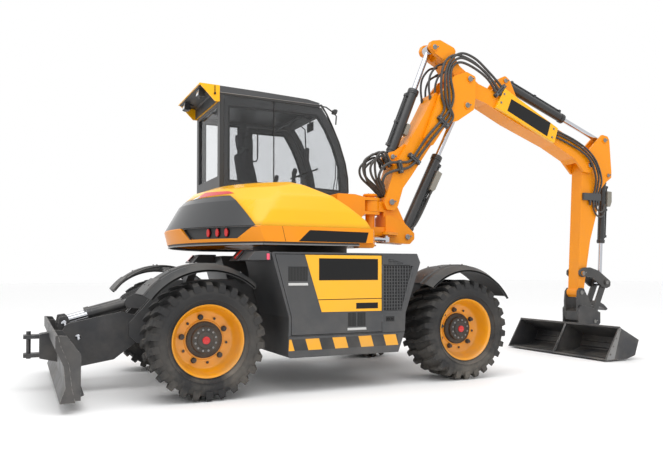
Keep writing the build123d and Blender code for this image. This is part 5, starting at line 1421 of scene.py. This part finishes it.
# Yellow cover on the intermediate boom's side, with a blank dark plate and its bolts
piece("arm_cover", PAINT_YELLOW, "intermediate_boom", [
    (prism, [(2704, 3386), (3577, 2966), (3513, 2766), (2562, 3131)], "Y", -172, -127),
], 5, slot="yellow_paint")
piece("arm_blank_plate", BLANK_PLATE, "intermediate_boom", [
    (prism, [(2800, 3262), (3446, 3024), (3386, 2842), (2736, 3108)], "Y", -174.5, -171),
], 1)
bolts("arm_cover_bolts", [((x, -172, z), (0, -1, 0)) for x, z in (
    (2690, 3312), (2640, 3200), (3500, 2950), (3470, 2838))], 11, STEEL, "intermediate_boom")

# Dipper: valve block with stubs, and hoses on to the bucket cylinder
piece("dipper_block", PAINT_GREY, "dipper", [
    (brick, (4076, -132, 2056), (4380, -87, 2152)),
    *((turned, [(0, 0), (0, 17), (26, 17), (30, 13), (70, 13), (70, 0)], (x, -110, 2060), (0, 0, -1), 16)
      for x in (4200, 4262, 4310, 4352)),
], 3)
hose("dipper_low_hoses", [
    [(4262, -110, 1996), (4266, -112, 1930), (4330, -112, 1850), (4430, -104, 1850), (4500, -80, 1930)],
    [(4310, -110, 1996), (4318, -112, 1950), (4380, -112, 1906), (4450, -100, 1930), (4512, -70, 2010)],
], 11, HOSE, "dipper", "bucket_barrel")

# Cylinders: gland rings, side pipes and valve blocks
CYLINDERS = [
    # name, foot, eye, barrel's body, barrel radius, barrel length, rod radius, side of the pipe
    ("boom", (1292, 1494), (2108, 3103), "boom_barrel", 60, 1115, 34, -1),
    ("adjust", (1120, 2420), (1676, 3766), "adjust_barrel", 60, 900, 33, 1),
    ("dipper", (2780, 3512), (4500, 2900), "dipper_barrel", 56, 1100, 32, 1),
    ("bucket", (4560, 2418), (4480, 945), "bucket_barrel", 46, 930, 27, 1),
]


def beside(foot, eye, along, across, y):
    """A point from a place along a cylinder's line and another square to it."""
    line = (Vector(eye) - Vector(foot)).normalized()
    point = Vector(foot) + line * along + Vector((-line.y, line.x)) * across
    return point.x, y, point.y


for name, foot, eye, body, radius, length, rod, side in CYLINDERS:
    line = (Vector(eye) - Vector(foot)).normalized()
    way, start = (line.x, 0, line.y), (foot[0], 0, foot[1])
    form = bmesh.new()
    turned(form, [(length - 46, radius - 4), (length - 46, radius + 5), (length - 40, radius + 8),
                  (length - 12, radius + 8), (length - 6, radius + 4), (length + 3, radius + 4),
                  (length + 5, rod + 3),
                  (length - 10, rod + 2)], start, way, 40, closed=True)
    turned(form, [(84, radius - 4), (84, radius + 5), (106, radius + 5), (106, radius - 4)], start, way, 40,
           closed=True)
    finish("gland_" + name, form, PAINT_BLACK, body, 1.5, smooth=40)
    form = bmesh.new()
    for y in (-16, 16):
        reach = radius + 15
        sweep(form, smooth_line([
            beside(foot, eye, 130, side * (radius - 6), y), beside(foot, eye, 150, side * reach, y),
            beside(foot, eye, 210, side * (reach + 3), y),
            beside(foot, eye, length - 150, side * (reach + 3), y),
            beside(foot, eye, length - 90, side * reach, y),
            beside(foot, eye, length - 70, side * (radius - 6), y),
        ], 5), 9, 10)
    for along in (150, length / 2, length - 96):
        corners = [beside(foot, eye, along + a, side * s, 0) for a, s in
                   ((-16, radius - 8), (16, radius - 8), (16, radius + 30), (-16, radius + 30))]
        prism(form, [(c[0], c[2]) for c in corners], "Y", -30, 30)
    finish("side_pipes_" + name, form, PAINT_BLACK, body, smooth=40)

BLOCKS = [
    # which cylinder, places along and square to it, low Y, high Y, rounded edge
    (0, [(676, -48), (676, -104), (712, -122), (936, -122), (936, -48)], -74, 10, 5),
    (1, [(330, -46), (330, -96), (470, -96), (470, -46)], -66, 6, 4),
    (3, [(210, 38), (210, 116), (350, 122), (420, 96), (420, 38)], -62, 14, 4),
]
for which, corners, low, high, edge in BLOCKS:
    name, foot, eye, body = CYLINDERS[which][:4]
    piece(name + "_valve_block", BLOCK, body, [
        (prism, [beside(foot, eye, along, across, 0)[::2] for along, across in corners], "Y", low, high),
    ], edge)
    if name == "boom":
        hose("boom_valve_pipes", [
            [beside(foot, eye, along, -across, y) for along, across in (
                (680, 90 + k * 14), (520, 92 + k * 6), (330, 86), (200, 70), (130, 40))]
            for k, y in enumerate((-52, -22))
        ], 12, HOSE, body)


# Blade: pin heads on its arms

form = bmesh.new()
for side in (-1, 1):
    for x, z in ((-2406, 631), (-2289, 501)):
        turned(form, [(-3, 0), (-3, 24), (6, 24), (9, 20), (9, 0)], (x, side * 299, z), (0, side, 0), 24)
finish("blade_pin_heads", form, CHROME, "blade", smooth=40)

# Bucket: cutting edge, lip bar, ribs inside, cutters on the sides and the middle web's edge
piece("cutting_edge", STEEL, "bucket", [
    (prism, [(3621, 18.5), (3730, 18.5), (3730, 40), (3662, 40)], "Y", -877, 877),
], 2)
piece("lip_bar", BUCKET_STEEL, "bucket", [
    (turned, [(-876, 0), (-876, 13), (876, 13), (876, 0)], (3862, 0, 408), (0, 1, 0), 16),
], smooth=50)
form = bmesh.new()
for side in (-1, 1):
    for low, high in ((20, 430), (440, 850)):
        low_y, high_y = sorted((side * low, side * high))
        prism(form, [(4086, 108), (4114, 98), (4119, 112), (4092, 122)], "Y", low_y, high_y)
        prism(form, [(4112, 176), (4140, 166), (4145, 180), (4118, 190)], "Y", low_y, high_y)
finish("inside_ribs", form, BUCKET_STEEL, "bucket", 2)
form = bmesh.new()
for side in (-1, 1):
    wall = sorted((side * 874, side * 881))
    prism(form, [(3648, 64), (3632, 26), (3760, 26), (3880, 400), (3852, 404)], "Y", wall[0], wall[1])
finish("side_cutters", form, STEEL, "bucket", 2)
piece("web_edge", STEEL, "bucket", [
    (prism, [(3644, 40), (3662, 40), (3872, 402), (3856, 410)], "Y", -13, 13),
], 2)
bolts("side_cutter_bolts", [
    ((3700 + k * 52, side * 881, 90 + k * 95), (0, side, 0)) for side in (-1, 1) for k in range(4)
], 11, STEEL, "bucket")


# Floor, light and camera

FLOOR_HALF = 60                # metres
FLOOR_DROP = 0.0005            # below the tyres, in metres
PHOTO_WIDTH = 663              # pixels
LENS_IN_PIXELS = 657.75
SHIFT_IN_PIXELS = 33.96
FILM_WIDTH = 36                # millimetres
CAMERA_PLACE = (-2.76628, -6.64134, 1.09083)
CAMERA_YAW, CAMERA_PITCH = 0.44237, 0.019389     # radians


def lay_floor():
    form = bmesh.new()
    bmesh.ops.create_grid(form, x_segments=2, y_segments=2, size=FLOOR_HALF)
    mesh = mesh_of("studio_floor", form)
    floor = shown("studio_floor", mesh)
    floor.location = (0, 0, -FLOOR_DROP)
    pale = bpy.data.materials.new("pale_floor")
    pale.use_nodes = True
    shader = next(n for n in pale.node_tree.nodes if n.type == "BSDF_PRINCIPLED")
    fill_in(shader, {
        "Base Color": (0.97, 0.97, 0.97, 1), "Roughness": 0.55, "Specular IOR Level": 0.2,
    })
    mesh.materials.append(pale)


def soft_box(name, place, target, size, power, tint=(1, 1, 1)):
    lamp = bpy.data.lights.new(name, "AREA")
    lamp.shape = "RECTANGLE"
    lamp.size, lamp.size_y = size
    lamp.energy = power
    lamp.color = tint
    holder = shown(name, lamp)
    holder.location = place
    holder.rotation_euler = (Vector(target) - Vector(place)).to_track_quat("-Z", "Y").to_euler()


def light_studio():
    world = bpy.data.worlds.new("studio_air")
    scene.world = world
    world.use_nodes = True
    sky = next(n for n in world.node_tree.nodes if n.type == "BACKGROUND")
    fill_in(sky, {
        "Color": (1.0, 1.0, 1.0, 1), "Strength": 1.0,
    })
    scene.view_settings.view_transform = "Standard"
    soft_box("overhead", (-1, -3, 9), (0.5, 0, 1), (9, 7), 420)
    soft_box("left_fill", (-9, -5, 3.5), (0, 0, 1.5), (6, 4), 60)
    soft_box("back_rim", (2, 9, 5), (0.5, 0, 1.8), (8, 4), 60)


def set_camera():
    """The photograph's place, direction and lens."""
    lens = bpy.data.cameras.new("photo_lens")
    lens.sensor_width = FILM_WIDTH
    lens.lens = LENS_IN_PIXELS / PHOTO_WIDTH * FILM_WIDTH
    lens.shift_y = SHIFT_IN_PIXELS / PHOTO_WIDTH
    camera = shown("photo_camera", lens)
    level = math.cos(CAMERA_PITCH)
    way = Vector((math.sin(CAMERA_YAW) * level, math.cos(CAMERA_YAW) * level, math.sin(CAMERA_PITCH)))
    camera.location = CAMERA_PLACE
    camera.rotation_euler = way.to_track_quat("-Z", "Y").to_euler()
    scene.camera = camera


lay_floor()
light_studio()
set_camera()
